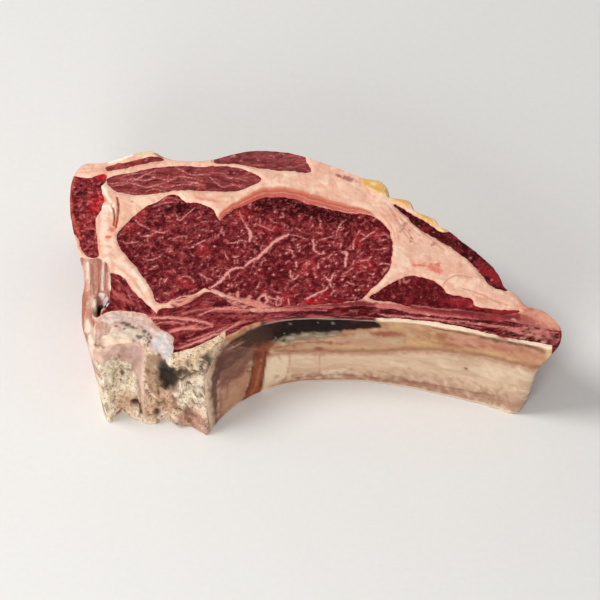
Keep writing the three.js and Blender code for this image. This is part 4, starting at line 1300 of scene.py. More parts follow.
SAWN_MARKS = [
    (tone(212, 154, 130), 0.6, 1, 1, [(-74.7, 19.6, 3.4, 3.4), (-61, 6, 2, 1.4), (-57, 9, 1.4, 1.4)]),
    (tone(206, 170, 136), 0.8, 1.4, 0.8, [
        (2.4, [(-72, 45.2), (-66, 46.6), (-58, 48.6), (-50.5, 49.8), (-44, 50)]),
    ]),
    (tone(228, 202, 166), 0.85, 0.9, 0.8, [
        (-66.6, 48.3, 2.6, 1.6), (-61.4, 50, 2.6, 1.6), (-59.2, 46.2, 2, 1.8), (-55.6, 50.9, 2, 1.2),
        (-51.4, 48.6, 1.6, 2.4), (-65.6, 42.4, 2.2, 1.6), (-62.8, 37.9, 1.8, 1.4), (-49.5, 50.2, 2, 1.2),
    ]),
    (tone(212, 174, 156), 0.95, 0.9, 0.4, FACET),
    (tone(160, 122, 106), 0.75, 1.8, 0.7, [
        (-94.8, 44.6, 4, 6, 20), (-96.6, 42, 2.4, 3.4), (-90.4, 37, 1.6, 6, -20),
    ]),
    (tone(196, 158, 150), 0.6, 1.4, 0.6, [(-90, 46, 3.6, 5.4), (-88.4, 30, 1.6, 6)]),
    (tone(238, 204, 184), 0.8, 1, 0.4, [
        (0.6, [(-85.2, 47.3), (-85.7, 38.3), (-87.1, 28.2), (-86.9, 18.5)]), (-104, 50, 3.4, 1.4),
    ]),
    (tone(102, 74, 52), 0.85, 3.4, 2.2, [[
        (-79.4, 42), (-75.6, 45.6), (-70, 42.5), (-67, 37), (-68.6, 27), (-74, 22.4), (-79.6, 24),
        (-80.4, 33),
    ]]),
    (tone(40, 30, 25), 0.95, 2.2, 2.4, [[
        (-77.6, 42), (-75.6, 44.6), (-72.6, 42.3), (-70.2, 41), (-69, 36.6), (-70.6, 31.9), (-71, 27),
        (-74.6, 24.4), (-77.9, 25.3), (-78.6, 30.7), (-77.6, 36.3),
    ]]),
    (tone(64, 48, 36), 0.85, 1.2, 1.1, [
        [
            (-70.2, 40.7), (-66.8, 38.3), (-63.9, 40.2), (-59.8, 40.6), (-57.5, 39), (-59.3, 36.9),
            (-63.4, 34.4), (-67.5, 32.2), (-71, 31.8),
        ],
        (-53.8, 45.9, 1.9, 3.4, 20), (-63.8, 44.1, 0.8, 1.6), (-63.5, 30.8, 2, 0.8, -20),
        (-56.8, 41.5, 0.8, 1.4), (-97.1, 36, 0.8, 1.4), (-97.2, 30.4, 0.7, 1), (-97.9, 24.6, 0.8, 1.5),
        (-97.2, 33.2, 0.5, 0.8), (-92.6, 41, 0.6, 0.8), (-101.5, 29, 0.6, 1), (-60, 25, 0.5, 1.4, 40),
        (-66, 27, 0.6, 0.9), (-56.5, 23, 0.5, 1.2, 40),
    ]),
    (tone(214, 186, 150), 0.8, 0.8, 0.8, [
        (-66.4, 36.2, 1.6, 0.9), (-61.6, 38.4, 1.2, 0.8), (-68.4, 40.4, 0.8, 0.8),
    ]),
    (tone(74, 24, 16), 0.95, 1, 0.6, [
        (-90.4, 10.6, 2.5, 1.9), (-88.3, 7.6, 0.9, 3.4), (-79.6, 8.4, 1.5, 3.1),
    ]),
    (tone(170, 104, 66), 0.9, 0.8, 0.5, [(-80.2, 50.4, 2.4, 1.2)]),
    (tone(240, 224, 204), 0.95, 0.8, 0.3, [(-73, 45.4, 1.4, 3.2)]),
]
POROUS_TOP = [
    (tone(212, 192, 172), 0.9, 1, 0.8, [[
        (-104, -44.6), (-102.7, -42), (-98.1, -40.4), (-92.3, -41.2), (-87.6, -44.2), (-84.1, -48.4),
        (-83, -52), (-85.8, -51.6), (-91, -50), (-96.8, -49.4), (-102, -49.6),
    ]]),
    (tone(84, 70, 56), 0.85, 1, 1, [
        (-88.1, -48, 1.4, 1), (-85.6, -46.1, 1, 1.4), (-83.5, -47.5, 0.8, 1.4), (-96, -43, 1.2, 0.7),
        (-83.2, -50.4, 0.7, 1.4),
    ]),
]
SAWN_TOP = 50.6  # height above which the lumps are those of the upper face
UPPER_BONE = (50.9, 51.2)  # heights between which the marks of the upper face set in


def broken(points):
    """How far the broken face of sawn bone stands out, from about -1 to 1."""
    places = points * (1, 0, 1)
    places[:, 1] = np.where(points[:, 2] > SAWN_TOP, points[:, 1], 0)
    big, small = lumps(places, 7.5, 1.4), lumps(places, 3.0, 4.4)
    return 1.1 * (big - 0.5) + 0.55 * (small - 0.5) + 0.3 * rough(places, 1.6, 2, 3.0)


def sawn_coats(points):
    """Sawn bone: cream lumps and tan crumbs with painted shade in the gaps between them and painted
    highlights on the lumps, and a smooth pink facet.
    """
    coats = Coats(points, tone(237, 210, 180))
    coats.cloud(tone(212, 184, 158), 6.0, -0.1, 0.4, 0.6)
    coats.cloud(tone(216, 172, 148), 4.0, 0.1, 0.5, 0.5, seed=58.0)
    stands = broken(points)
    # The bone's tan and cream are placed by the relief: painted shade where the broken face sinks, painted
    # highlight where it stands out
    coats.lay_where(tone(160, 122, 96), 0.75, -stands, -0.05, 0.4)
    coats.lay_where(CREAM, 0.8, stands, 0.1, 0.5)
    coats.marks(FRONT, SAWN_TONES)
    # A second, stronger coat of painted shade in the deepest gaps and painted highlight on the highest
    # lumps
    coats.lay_where(tone(116, 86, 66), 0.7, -stands, 0.12, 0.5)
    coats.lay_where(tone(240, 226, 202), 0.5, stands, 0.25, 0.6)
    upper = smoothstep(points[:, 2], *UPPER_BONE)
    coats.marks(FRONT, SAWN_MARKS, 1 - 0.8 * upper)
    coats.marks(TOP, POROUS_TOP, upper)
    return coats


WINDOW_ZONE = [(-27, -23), (29, 33)]
DARK_WINDOW = [[
    (-29, 46.5), (-25.1, 52), (-18.4, 53), (-9.8, 53), (14.7, 53), (26.9, 52), (31.8, 49.7), (34.6, 45.7),
    (33.1, 44), (27, 43.2), (19.6, 42.4), (13.5, 41.1), (6.1, 40.2), (-2.5, 40.3), (-8.6, 40.4),
    (-12.3, 39.6), (-16, 37.8), (-19.7, 36.3), (-23.1, 37.8), (-26.5, 41.1),
]]
MEMBRANE_MARKS_WITH_SHADE = [
    (tone(196, 142, 116), 0.8, 3, 1.4, [[
        (62.6, 46.6), (71.8, 47.9), (87.1, 49.6), (102.4, 50.2), (114.6, 49.2), (117, 44.9), (114.8, 40.3),
        (102.7, 37.8), (87.3, 38.3), (76.6, 36.1), (66.5, 39.9),
    ]]),
    (tone(192, 152, 122), 0.8, 3, 1.4, [[
        (-18.4, 32.3), (-6.1, 32.2), (4.9, 33.1), (12.3, 35.4), (20.9, 39.3), (27, 40.5), (34.3, 42),
        (43.4, 39.4), (43.6, 30.2), (27.1, 26.3), (8.7, 24.8), (-6.1, 24.5), (-20.5, 25.7),
    ]]),
    (tone(178, 104, 84), 0.6, 2, 1.4, [
        (35.6, 40.3, 7.2, 2.2), (12.3, 31.7, 4.5, 1.4), (97, 44, 14, 2, 3), (84, 44, 4, 3),
    ]),
    (tone(156, 96, 66), 0.8, 1.6, 1.2, [
        (64.5, 43.6, 4, 3), (72, 38.6, 3.6, 1.6), (60, 38, 3, 1.2), (79, 40, 4, 1), (66, 37, 1.4, 1.2),
        (100, 40, 5, 0.9),
    ]),
    (tone(182, 134, 102), 0.7, 1.6, 0.9, [(0.8, [(33.3, 40.6), (42.6, 43.2), (48.8, 42.4), (58.7, 45.6)])]),
    (tone(206, 168, 118), 0.7, 1.8, 1.2, [
        (52, 36, 9, 4.4), (90, 38.6, 12, 1.6, 4), (20, 28.5, 10, 1.8), (42, 46, 6, 2),
    ]),
    (tone(196, 172, 140), 0.7, 1.6, 1, [(24, 38, 5, 2.2, 12), (40, 35, 4, 2.6), (48, 41, 3, 1.4)]),
    # Painted shade under the pale lip of the membrane
    (tone(104, 72, 58), 0.85, 1.8, 0.8, [
        (1, [(84, 48.4), (90, 48.6), (98.5, 48.9), (107, 48.8), (113.6, 48.6), (116, 47.4)]),
        (0.5, [(60, 48.6), (72, 48.9), (84, 49)]),
    ]),
    (tone(198, 140, 104), 0.55, 2.6, 1.4, [(108, 40.5, 5, 2.6, 10), (114.5, 43, 2, 4)]),
    (tone(232, 196, 154), 0.85, 1.2, 0.6, [(118.6, 45, 2, 5)]),
    # Painted shadow just above the rib's top, where the membrane overhangs the bone
    (tone(158, 114, 88), 0.8, 2, 0.8, [
        (1.3, [
            (-20, 28.9), (-7, 26), (14, 25.4), (33, 26.4), (50, 30.7), (64, 33.8), (88, 36.2), (104, 36.4),
            (112, 36),
        ]),
    ]),
    (tone(132, 118, 101), 0.9, 3.2, 1.4, [[
        (-17, 41.5), (-8.6, 42.4), (-2.5, 42.3), (6.1, 42), (14.3, 41.6), (11.6, 37.3), (4.9, 34.8),
        (-0.6, 34.6), (-6.1, 34.6), (-11.1, 33.8), (-18.4, 34.2), (-20.7, 36.9),
    ]]),
    (tone(186, 170, 150), 0.7, 1, 1.2, [
        (-4, 38.6, 3, 1), (3, 37.4, 3.4, 0.8, -10), (-12, 37, 2, 0.9), (9, 38.4, 2, 0.7),
    ]),
    (tone(52, 44, 38), 0.8, 1, 1.2, [
        (-8, 39.6, 2.4, 0.8), (0, 39.6, 2, 0.7), (6.4, 38.8, 1.4, 0.7), (-15.5, 36.4, 1.2, 1),
    ]),
]
WINDOW_MARKS_WITH_GLINTS_AND_SHADE = [
    (tone(60, 38, 32), 0.85, 5, 2, [[
        (-37, 47), (-30, 49.8), (-20, 53), (-16, 40), (-17.7, 36), (-24.4, 35.9), (-31, 38),
    ]]),
    (tone(26, 13, 13), 1, 2.2, 0.9, DARK_WINDOW),
    (tone(68, 46, 37), 0.8, 9, 3, [[
        (-40, 47), (-32, 50), (-23.5, 52), (-21, 44), (-21.6, 38), (-28, 35), (-36, 38),
    ]]),
    (tone(64, 22, 22), 0.5, 2.4, 1.4, [(27, 45.8, 6, 1.8, 0), (-20, 47, 5, 3), (20, 47, 3, 2)]),
    # Painted glints: small pale spots on the wet dark membrane
    (tone(160, 150, 146), 0.45, 1, 0.5, [
        (9.5, 47.5, 0.7, 1), (-12, 48, 0.5, 0.7), (-19.6, 38.3, 0.7, 1.1), (-15.2, 41, 0.5, 0.7),
        (2, 47.5, 0.4, 0.6),
    ]),
    (tone(244, 220, 192), 0.95, 1, 0.4, [
        (1.2, [(32, 50.6), (37.8, 50.5), (56.3, 50.9), (71.7, 51.2)]),
        (0.9, [(71.7, 51.2), (87, 51.2), (102.4, 51.2), (112, 51.2), (119, 50.6)]),
    ]),
    # Painted shade under the left part of the pale lip
    (tone(178, 142, 100), 0.6, 1.6, 0.8, [(0.8, [(36, 48.8), (46, 48.9), (58, 49.2)])]),
]


def membrane_coats(points):
    """Dark and glossy over the meat on the left, brown, pink and yellow on the right, with a pale lip."""
    coats = Coats(points, tone(192, 144, 110))
    coats.cloud(tone(166, 110, 86), 5.0, -0.05, 0.35, 0.7, (0.4, 1, 1.2))
    coats.cloud(tone(212, 176, 136), 6.0, 0.0, 0.4, 0.6, (0.5, 1, 1), 81.0)
    coats.cloud(tone(160, 100, 76), 2.4, 0.2, 0.5, 0.5, (0.4, 1, 1), 83.0)
    coats.marks(FRONT, MEMBRANE_MARKS_WITH_SHADE)
    coats.marks(FRONT, WALL_MARKS)
    coats.marks(FRONT, WINDOW_MARKS_WITH_GLINTS_AND_SHADE)
    x, y, z = points.T
    below = cut_face(x, y) - z
    over_window = between(x, *WINDOW_ZONE)
    coats.lay_where(tone(184, 150, 138), 0.85 * over_window, 0.45 - np.abs(below - 1.25), 0, 0.3)
    coats.lay_where(tone(96, 30, 34), 0.95 * over_window, below, 0.95, 0.6)
    streaks = rough(points * (0.09, 0.9, 0.3), 1.0, 3, 17.0)
    near_lip = smoothstep(below, 0.8, 0.5)
    coats.lay_where(tone(176, 92, 84), 0.75 * over_window * near_lip, streaks, -0.02, 0.25)
    return coats


CARTILAGE_EDGE = 46.4  # height down to which cartilage covers the front
CARTILAGE_RISE = 3.2  # how much higher that is further left
CARTILAGE_TURN = (76, 79)  # how far left of the middle it rises
CARTILAGE_MARKS = [
    (tone(222, 186, 166), 0.8, 1.2, 0.8, [[
        (-108.2, -32.4), (-104.1, -30.6), (-96, -30.9), (-87.9, -32), (-84.3, -34.6), (-80.7, -40.5),
        (-84.2, -41.2), (-87.8, -37.5), (-92.4, -35.3), (-99.4, -34.6), (-106.4, -34.6),
    ]]),
    (tone(222, 200, 190), 0.85, 1.4, 0.8, [[
        (-108, -37.5), (-103.9, -39.7), (-99.3, -38.3), (-94.7, -37.2), (-88.9, -39.7), (-84.2, -43.4),
        (-81.2, -46.3), (-81.7, -51.4), (-79, -62.5), (-72, -64.3), (-71, -59.4), (-71.6, -49.9),
        (-74.3, -47), (-80.7, -43.4), (-85.4, -39.7), (-90.1, -36.8), (-95.9, -35), (-102.9, -34.2),
        (-106.9, -34.2),
    ]]),
    (tone(212, 204, 202), 0.85, 1.6, 0.8, [(-77.7, -50.7, 3.5, 5, -30), (-74.1, -56.5, 2.2, 6.5)]),
    (tone(206, 194, 172), 0.85, 1, 0.8, [(-95.7, -45, 5.7, 3), (-89.9, -46.2, 3.5, 2.8), (-85, -50, 2, 4)]),
    (tone(74, 64, 54), 0.85, 0.9, 1, [
        (-96.7, -39.7, 1.5, 1), (-94.1, -40.5, 1.5, 1.3), (-95.8, -41.9, 1.3, 0.8),
        (-91.7, -42.1, 1.4, 0.9), (-90, -43, 1.2, 0.7), (-100.1, -41.2, 1.1, 0.5), (-85.6, -44.8, 0.9, 0.9),
        (-87.5, -47.8, 1.1, 0.9), (-83.5, -46.3, 0.6, 1), (-82.3, -48.1, 0.7, 1), (-83.2, -50.7, 0.6, 1),
    ]),
    (tone(212, 150, 128), 0.6, 1.2, 0.9, [
        (-82, -40.5, 2, 1.6), (-88, -33.4, 3, 1.2), (-108.5, -41, 1.6, 5),
    ]),
]


def cartilage_coats(points):
    """Cream and pink outside, cool white within, with dark pores along its inner edge."""
    coats = Coats(points, tone(208, 170, 154))
    coats.cloud(tone(188, 140, 126), 4.0, 0.0, 0.4, 0.6)
    coats.marks(TOP, CARTILAGE_MARKS)
    x, z = points[:, 0], points[:, 2]
    low = CARTILAGE_EDGE + CARTILAGE_RISE * smoothstep(-x, *CARTILAGE_TURN) - z + 0.8 * coats.wobble
    coats.lay_where(sawn_coats(points).colour, 1.0, low, 0, 1.2)
    return coats


TORN_HOLE = [[
    (-110.1, -25.8), (-107.8, -22.8), (-104.3, -22.8), (-103.1, -25.8), (-105.3, -29.5), (-107.1, -28),
    (-108.5, -31.7), (-108.4, -35.3), (-109.9, -33.1),
]]
FOLDS = [
    (0.45, [(-105.8, -0.8), (-105.9, -8.3), (-106.1, -17.6)]),
    (0.9, [(-111.4, -0.2), (-112, -11.4), (-111.8, -20.6)]),
]
LIGAMENT_MARKS = [
    # Brown in the folds of the sinew: partly its own colour and partly painted shade in the grooves
    (tone(180, 118, 98), 0.8, 1, 0.4, [FOLDS[1], (-114.8, -21.3, 2.2, 4.7)]),
    (tone(150, 84, 74), 0.8, 1, 0.4, [FOLDS[0], (0.5, [(-109.4, -2), (-109.6, -12), (-109.2, -20)])]),
    (tone(248, 226, 202), 0.85, 1, 0.4, [
        (0.6, [(-107.3, 2.3), (-107.5, -8.3), (-107.6, -17.6)]),
        (0.6, [(-104.6, -0.8), (-103.8, -8.3), (-103.6, -17.6)]),
        (0.8, [(-115.3, -1.5), (-114.5, -11.4), (-114.8, -18.6)]),
        (0.9, [(-111.2, -25), (-111.7, -31.7), (-110.9, -37.5)]), (-109, -44.1, 2.4, 5.5),
        (-114, -41.2, 1.8, 4.7), (-112, -50, 2, 5),
    ]),
    (tone(206, 122, 96), 0.7, 1.2, 0.9, [
        (-110.9, -38.3, 2.4, 1.8), (-114.2, -33, 1.6, 3.6), (-115.4, -17, 1.2, 3.6),
    ]),
    (tone(42, 14, 16), 1, 0.6, 0.3, TORN_HOLE),
    (tone(226, 214, 210), 0.9, 0.6, 0.4, [
        (-105.7, -23.4, 1.6, 1.5), (-107.9, -20.6, 1.6, 1.3), (-104.4, -27.2, 0.7, 1.6),
    ]),
]


def ligament_coats(points):
    """Pale strands of sinew, with pink and brown between them, the brown in the folds partly painted shade,
    and a dark torn hole.
    """
    coats = Coats(points, tone(186, 120, 102))
    coats.cloud(tone(178, 106, 90), 3.0, -0.05, 0.35, 0.75, (1, 0.25, 0.9))
    coats.cloud(tone(238, 202, 176), 3.6, 0.08, 0.4, 0.55, (1, 0.25, 0.8), 91.0)
    coats.marks(TOP, LIGAMENT_MARKS, near_top(points))
    return coats


COATS = {
    "rib_bone": rib_coats, "backbone": sawn_coats, "pleura": membrane_coats, "cartilage": cartilage_coats,
    "ligament": ligament_coats, "fat": fat_coats,
}


# Shader values and colours

class Wire:
    """A socket of a node. Sums and products of wires grow into Math nodes."""

    def __init__(self, paint, socket):
        self.paint = paint
        self.socket = socket

    def __add__(self, other):
        return self.paint.maths("ADD", self, other)

    def __radd__(self, other):
        return self.paint.maths("ADD", other, self)

    def __sub__(self, other):
        return self.paint.maths("SUBTRACT", self, other)

    def __rsub__(self, other):
        return self.paint.maths("SUBTRACT", other, self)

    def __mul__(self, other):
        return self.paint.maths("MULTIPLY", self, other)

    def __rmul__(self, other):
        return self.paint.maths("MULTIPLY", other, self)


class Paint:
    """One material. Its patterns are laid out in millimetres on the steak."""

    def __init__(self, name):
        self.material = bpy.data.materials.new(name)
        self.material.use_nodes = True
        self.tree = self.material.node_tree
        self.tree.nodes.clear()
        place = self.node("ShaderNodeTexCoord", {}, {}, "Object")
        self.place = self.scaled(place, 1 / MM)

    def node(self, kind, settings, inputs, output=0):
        made = self.tree.nodes.new(kind)
        for key, value in settings.items():
            setattr(made, key, value)
        for key, value in inputs.items():
            if isinstance(value, Wire):
                self.tree.links.new(value.socket, made.inputs[key])
            else:
                made.inputs[key].default_value = value
        return Wire(self, made.outputs[output])

    def maths(self, operation, a, b):
        return self.node("ShaderNodeMath", {"operation": operation}, {0: a, 1: b})

    def vectors(self, operation, a, b):
        return self.node("ShaderNodeVectorMath", {"operation": operation}, {0: a, 1: b})

    def scaled(self, value, amount):
        """A place or a colour, times an amount."""
        return self.node("ShaderNodeVectorMath", {"operation": "SCALE"}, {"Vector": value, "Scale": amount})

    def kept(self, name, output="Fac"):
        """A value that is kept on the points of the mesh."""
        return self.node("ShaderNodeAttribute", {"attribute_name": name}, {}, output)

    def stretched(self, lengths, at=None, turn=0.0):
        """The place, measured in lengths along, across and up, where along is turned about the vertical."""
        turned = {"Vector": at or self.place, "Scale": lengths, "Rotation": (0, 0, math.radians(turn))}
        return self.node("ShaderNodeMapping", {"vector_type": "TEXTURE"}, turned)

    def warped(self, size, by, at=None):
        """The place, pushed about by up to by, and mostly by less than half of it."""
        at = at or self.place
        field = {"Vector": at, "Scale": 1 / size, "Detail": 2.0}
        push = self.node("ShaderNodeTexNoise", {}, field, "Color")
        centred = self.vectors("SUBTRACT", push, (0.5, 0.5, 0.5))
        return self.vectors("ADD", at, self.scaled(centred, 2 * by))

    def clouds(self, size, detail, at=None, roughness=0.5):
        field = {"Vector": at or self.place, "Scale": 1 / size, "Detail": detail, "Roughness": roughness}
        return self.node("ShaderNodeTexNoise", {}, field, "Fac")

    def cells(self, size, feature, at):
        field = {"Vector": at, "Scale": 1 / size}
        return self.node("ShaderNodeTexVoronoi", {"feature": feature}, field, "Distance")

    def fade(self, value, low, high):
        """0 at low and 1 at high, with soft ends."""
        field = {"Value": value, "From Min": low, "From Max": high}
        return self.node("ShaderNodeMapRange", {"interpolation_type": "SMOOTHSTEP"}, field)

    def mix(self, a, b, amount):
        settings = {"data_type": "RGBA", "clamp_factor": True}
        return self.node("ShaderNodeMix", settings, {0: amount, 6: a, 7: b}, 2)

    def finish(self, colour, roughness, height, bump, **extra):
        """The surface itself: constants are set on the shader's own sockets."""
        normal = self.node("ShaderNodeBump", {}, {"Height": height, "Distance": 0.5 * MM, "Strength": bump})
        inputs = {"Base Color": colour, "Roughness": roughness, "Normal": normal}
        inputs.update({key.replace("_", " "): value for key, value in extra.items()})
        surface = self.node("ShaderNodeBsdfPrincipled", {}, inputs)
        out = self.tree.nodes.new("ShaderNodeOutputMaterial")
        self.tree.links.new(surface.socket, out.inputs["Surface"])
        return self.material


# Finishes

def muscle_finish(name, fat, contrast=1.0, stretch=(1, 1, 2), turn=0):
    """Red meat: soft mottling, a faint net of fibre bundles, and marbling, whitest where it is widest."""
    paint = Paint(name)
    tint = paint.kept("tint", "Color")
    flow = paint.warped(6.0, 2.5, paint.stretched(stretch, turn=turn))
    mottle = paint.clouds(2.6, 3.0, flow, 0.6)
    fine = paint.clouds(0.9, 3.0, flow, 0.6)
    grain = 0.5 + contrast * (mottle - 0.5 + 0.6 * (fine - 0.5))
    light = paint.mix(tint, tone(200, 90, 88), 0.3)
    colour = paint.mix(paint.scaled(tint, 0.62), tint, paint.fade(grain, 0.36, 0.5))
    colour = paint.mix(colour, light, paint.fade(grain, 0.52, 0.68))
    net = paint.fade(paint.cells(2.0, "DISTANCE_TO_EDGE", flow), 0.12, 0.0)
    bundles = net * paint.fade(mottle, 0.42, 0.58)
    colour = paint.mix(colour, tone(186, 84, 84), bundles * 0.25)
    vein = paint.kept("vein") + 1.3 * (paint.clouds(1.0, 3.0, None, 0.65) - 0.5)
    flesh = paint.mix(tint, tone(206, 112, 108), 0.55)
    colour = paint.mix(colour, flesh, 0.55 * paint.fade(vein, -0.8, 0.0))
    line = paint.mix(flesh, fat, paint.fade(vein, -0.05, 0.4))
    colour = paint.mix(colour, line, paint.fade(vein, -0.22, 0.12))
    edge = paint.fade(paint.kept("seam") + 1.4 * (paint.clouds(1.6, 3.0) - 0.5), 0.4, 0.0)
    colour = paint.mix(colour, fat, edge * 0.5 * paint.fade(paint.clouds(5.0, 2.0), 0.42, 0.6))
    wet = paint.fade(paint.clouds(1.6, 2.0), 0.62, 0.7)
    height = paint.fade(vein, -0.3, 0.3) * 0.5 + mottle * 0.8 + 0.5 * fine
    gloss = {"Specular_IOR_Level": 0.05, "Coat_Weight": 0.25 * wet, "Coat_Roughness": 0.2}
    return paint.finish(colour, 0.5 - 0.1 * wet, height, 0.4, **gloss)


def tinted_finish(name, size, contrast, roughness, bump, stretch=(1, 1, 1), **constants):
    """A finish whose colour is laid on the points, with fine uneven grain over it."""
    paint = Paint(name)
    soft = paint.warped(size * 3, size, paint.stretched(stretch))
    fine = paint.clouds(size, 4.0, soft, 0.65)
    tiny = paint.clouds(size * 0.35, 2.0, soft)
    grain = 0.7 * (fine - 0.5) + 0.3 * (tiny - 0.5)
    colour = paint.scaled(paint.kept("tint", "Color"), 1.0 + contrast * grain)
    height = fine * 1.6 + tiny * 0.6
    return paint.finish(colour, roughness + 0.4 * grain, height, bump, **constants)


def sawn_finish(name):
    """Bone: crumbs with painted light and shade, and small pores, over the laid colour where it is sawn,
    fine grain where it is smooth.
    """
    paint = Paint(name)
    soft = paint.warped(3.0, 1.6)
    crumb = paint.clouds(1.8, 4.0, soft, 0.68)
    rugged = 1.0 - paint.fade(paint.kept("smooth"), 0.0, 1.0)
    porous = paint.fade(paint.clouds(3.2, 2.0), 0.44, 0.56)
    pore = paint.fade(paint.cells(1.5, "F1", soft), 0.36, 0.14) * porous
    grain = paint.clouds(1.6, 3.0, paint.stretched((2.5, 1, 1)), 0.6)
    # Painted light and shade: the crumbs, which also make the bump, are lighter where they rise; the line
    # after next browns them where they sink
    light = 1.08 + 1.5 * rugged * (crumb - 0.5) + 0.3 * (grain - 0.5)
    colour = paint.scaled(paint.kept("tint", "Color"), light)
    colour = paint.mix(colour, tone(134, 92, 58), 0.5 * rugged * paint.fade(crumb, 0.46, 0.3))
    colour = paint.mix(colour, tone(88, 60, 40), pore * rugged * 0.55)
    height = (crumb * 2.4 - pore * 2.2) * rugged + 0.4 * grain
    return paint.finish(colour, 0.45 + 0.2 * rugged, height, 0.8, Specular_IOR_Level=0.3)


def fat_finish(name):
    """Firm fat: the laid colour with soft lumps and faint streaks."""
    paint = Paint(name)
    soft = paint.warped(9.0, 4.0)
    fine = paint.clouds(2.2, 4.0, soft, 0.62)
    tiny = paint.clouds(0.8, 2.0, soft)
    colour = paint.scaled(paint.kept("tint", "Color"), 1.0 + 0.24 * (fine - 0.5) + 0.12 * (tiny - 0.5))
    streak = paint.clouds(1.6, 3.0, paint.stretched((3.3, 1, 1), paint.warped(22.0, 9.0), -35))
    colour = paint.scaled(colour, 1.0 + 0.22 * (streak - 0.5))
    height = fine * 1.1 + 0.4 * tiny
    gloss = {"Specular_IOR_Level": 0.35, "Coat_Weight": 0.08, "Coat_Roughness": 0.2}
    return paint.finish(colour, 0.42 + 0.3 * (fine - 0.5), height, 0.45, **gloss)


def membrane_finish(name):
    """The membrane's laid colour, streaked along the rib, and glossy where it is dark."""
    paint = Paint(name)
    soft = paint.warped(6.0, 2.5)
    streak = paint.clouds(1.8, 4.0, paint.stretched((2.2, 1, 0.7), soft), 0.65)
    dark = paint.fade(paint.kept("dark"), 0.0, 1.5)
    colour = paint.scaled(paint.kept("tint", "Color"), 1.0 + 0.5 * (streak - 0.5))
    height = streak * 1.2 + 0.4 * paint.clouds(1.2, 3.0, soft)
    height = height * (1.0 - 0.7 * dark)
    return paint.finish(colour, 0.5 - 0.1 * dark, height, 0.35, Specular_IOR_Level=0.08)


def floor_finish():
    paint = Paint("pale_floor")
    grain = paint.clouds(3.0, 3.0)
    colour = paint.mix(tone(226, 224, 220), tone(232, 230, 227), grain)
    return paint.finish(colour, 0.7 + 0.1 * grain, grain, 0.05)


def finishes():
    """One finish for each piece."""
    red = muscle_finish("marbled_meat", tone(222, 152, 145))
    cap = muscle_finish("veined_meat", tone(222, 160, 152), 1.1, (2.9, 1, 2), 4)
    streaky = muscle_finish("streaky_meat", tone(218, 140, 130), 1.1, (2.9, 1, 2), 12)
    slanting = muscle_finish("slanting_meat", tone(218, 140, 130), 1.1, (2.9, 1, 2), -52)
    dark = muscle_finish("plain_dark_meat", tone(188, 108, 104), 0.5)
    bloody = muscle_finish("bloody_meat", tone(212, 124, 120), 1.2)
    bone = sawn_finish("bone_finish")
    sinew = tinted_finish("ligament_finish", 1.6, 0.8, 0.4, 0.6, (1, 2.5, 2.5), Specular_IOR_Level=0.4)
    return {
        "rib_bone": bone, "backbone": bone, "ligament": sinew,
        "cartilage": tinted_finish("cartilage_finish", 1.6, 0.5, 0.4, 0.5, Specular_IOR_Level=0.4),
        "pleura": membrane_finish("membrane_finish"), "fat": fat_finish("fat_finish"),
        "rib_eye": red, "eye_lobe": red, "cap_muscle": cap, "back_strip": cap, "corner_strip": cap,
        "chine_muscle": bloody, "outer_strip": dark, "flank_muscle": dark, "inner_wedge": slanting,
        "rib_meat": streaky,
    }


def wavy_places(points):
    """The points, pushed about a little and slanted down the sides. Lines drawn through them wander."""
    push = [layered(points, VEIN_WAVES, seed) for seed in (41.0, 47.0)]
    return points[:, :2] + np.stack(push, 1) + (points[:, 2:] - THICKNESS) * VEIN_SLANT


def dress(pieces):
    looks = finishes()
    drawn = [(half_width, path) for half_width, paths in MEAT_LINES.items() for path in paths]
    dots = [(0.55, [(x - 0.25, y - 0.3), (x + 0.25, y + 0.3)]) for x, y in FAT_DOTS]
    for seed, (node, piece) in enumerate(pieces.items()):
        points = read_points(piece.data)
        keep(piece, "seam", nearest(points, SEAMS))
        if SLOTS[node] in ("muscle", "pale_muscle"):
            coats = meat_coats(points, node)
            lines = [*drawn, *dots, *scattered_fat(node, *SCATTER[node], seed)]
            keep(piece, "vein", vein_depth(wavy_places(points), lines))
        else:
            coats = COATS[node](points)
        keep(piece, "tint", coats.colour, "FLOAT_COLOR", "color")
        if node == "rib_bone":
            keep(piece, "smooth", 1 - sawn_share(points[:, 0], points[:, 2]))
        if node == "backbone":
            keep(piece, "smooth", smoothstep(strength(points[:, FRONT], FACET), -0.5, 1.0))
        if node == "pleura":
            keep(piece, "dark", strength(points[:, FRONT], DARK_WINDOW))
        piece.data.materials.clear()
        piece.data.materials.append(looks[node])
        place_piece(piece, node)


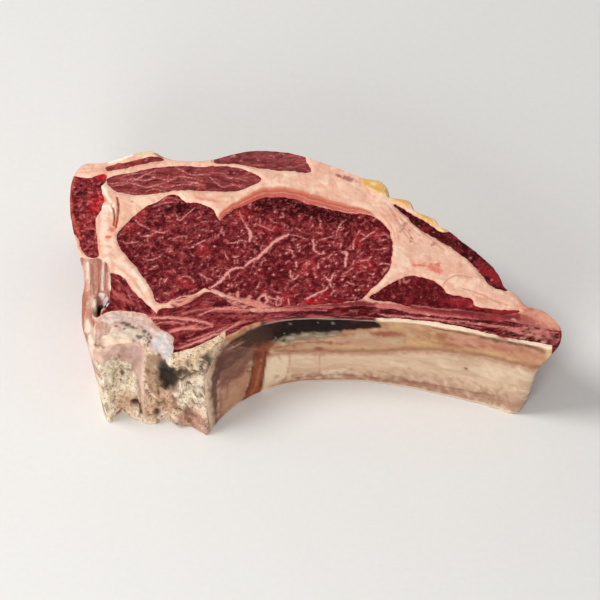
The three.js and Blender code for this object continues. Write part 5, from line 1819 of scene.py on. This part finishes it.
def place_piece(piece, node):
    """Turns millimetres on the outline into the frame's metres, and ties the piece to the frame."""
    points = read_points(piece.data)
    points[:, :2] -= MIDDLE
    write_points(piece.data, points * MM)
    for polygon in piece.data.polygons:
        polygon.use_smooth = True
    piece.data.set_sharp_from_angle(angle=SHARP_ANGLE)
    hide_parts(node)
    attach(piece, "root")


# Floor, light and camera

def floor():
    shape = bmesh.new()
    bmesh.ops.create_grid(shape, x_segments=1, y_segments=1, size=2.0)
    ground = mesh_object("floor", shape)
    ground.data.materials.append(floor_finish())


def soft_light(name, place, aim, size, power):
    lamp = bpy.data.lights.new(name, "AREA")
    lamp.shape = "DISK"
    lamp.size = size
    lamp.energy = power
    holder = bpy.data.objects.new(name, lamp)
    holder.location = place
    holder.rotation_euler = (Vector(aim) - Vector(place)).to_track_quat("-Z", "Y").to_euler()
    bpy.context.scene.collection.objects.link(holder)


def studio():
    soft_light("main_light", (-0.75, 0.1, 1.2), aim=(0, 0, 0.03), size=0.6, power=11.5)
    soft_light("front_light", (-0.45, -1.3, 0.6), aim=(0, 0, 0.02), size=0.7, power=9.5)
    world = bpy.data.worlds.new("studio")
    bpy.context.scene.world = world
    world.use_nodes = True
    sky = world.node_tree.nodes["Background"].inputs
    sky["Color"].default_value = (1, 1, 1, 1)
    sky["Strength"].default_value = 0.4
    bpy.context.scene.view_settings.view_transform = "Standard"


CAMERA_AIM = (-6.548, -7.256, 26.0)
CAMERA_HEIGHT = math.radians(52)  # above the table, as the photograph was taken
CAMERA_DISTANCE = 2500.0


def camera():
    lens = bpy.data.cameras.new("camera")
    lens.lens = 292.5
    lens.sensor_width = 36
    lens.clip_end = 20
    holder = bpy.data.objects.new("camera", lens)
    back = Vector((0, -math.cos(CAMERA_HEIGHT), math.sin(CAMERA_HEIGHT)))
    holder.location = (Vector(CAMERA_AIM) + back * CAMERA_DISTANCE) * MM
    holder.rotation_euler = back.to_track_quat("Z", "Y").to_euler()
    bpy.context.scene.collection.objects.link(holder)
    bpy.context.scene.camera = holder


dress(cut_pieces())
floor()
studio()
camera()
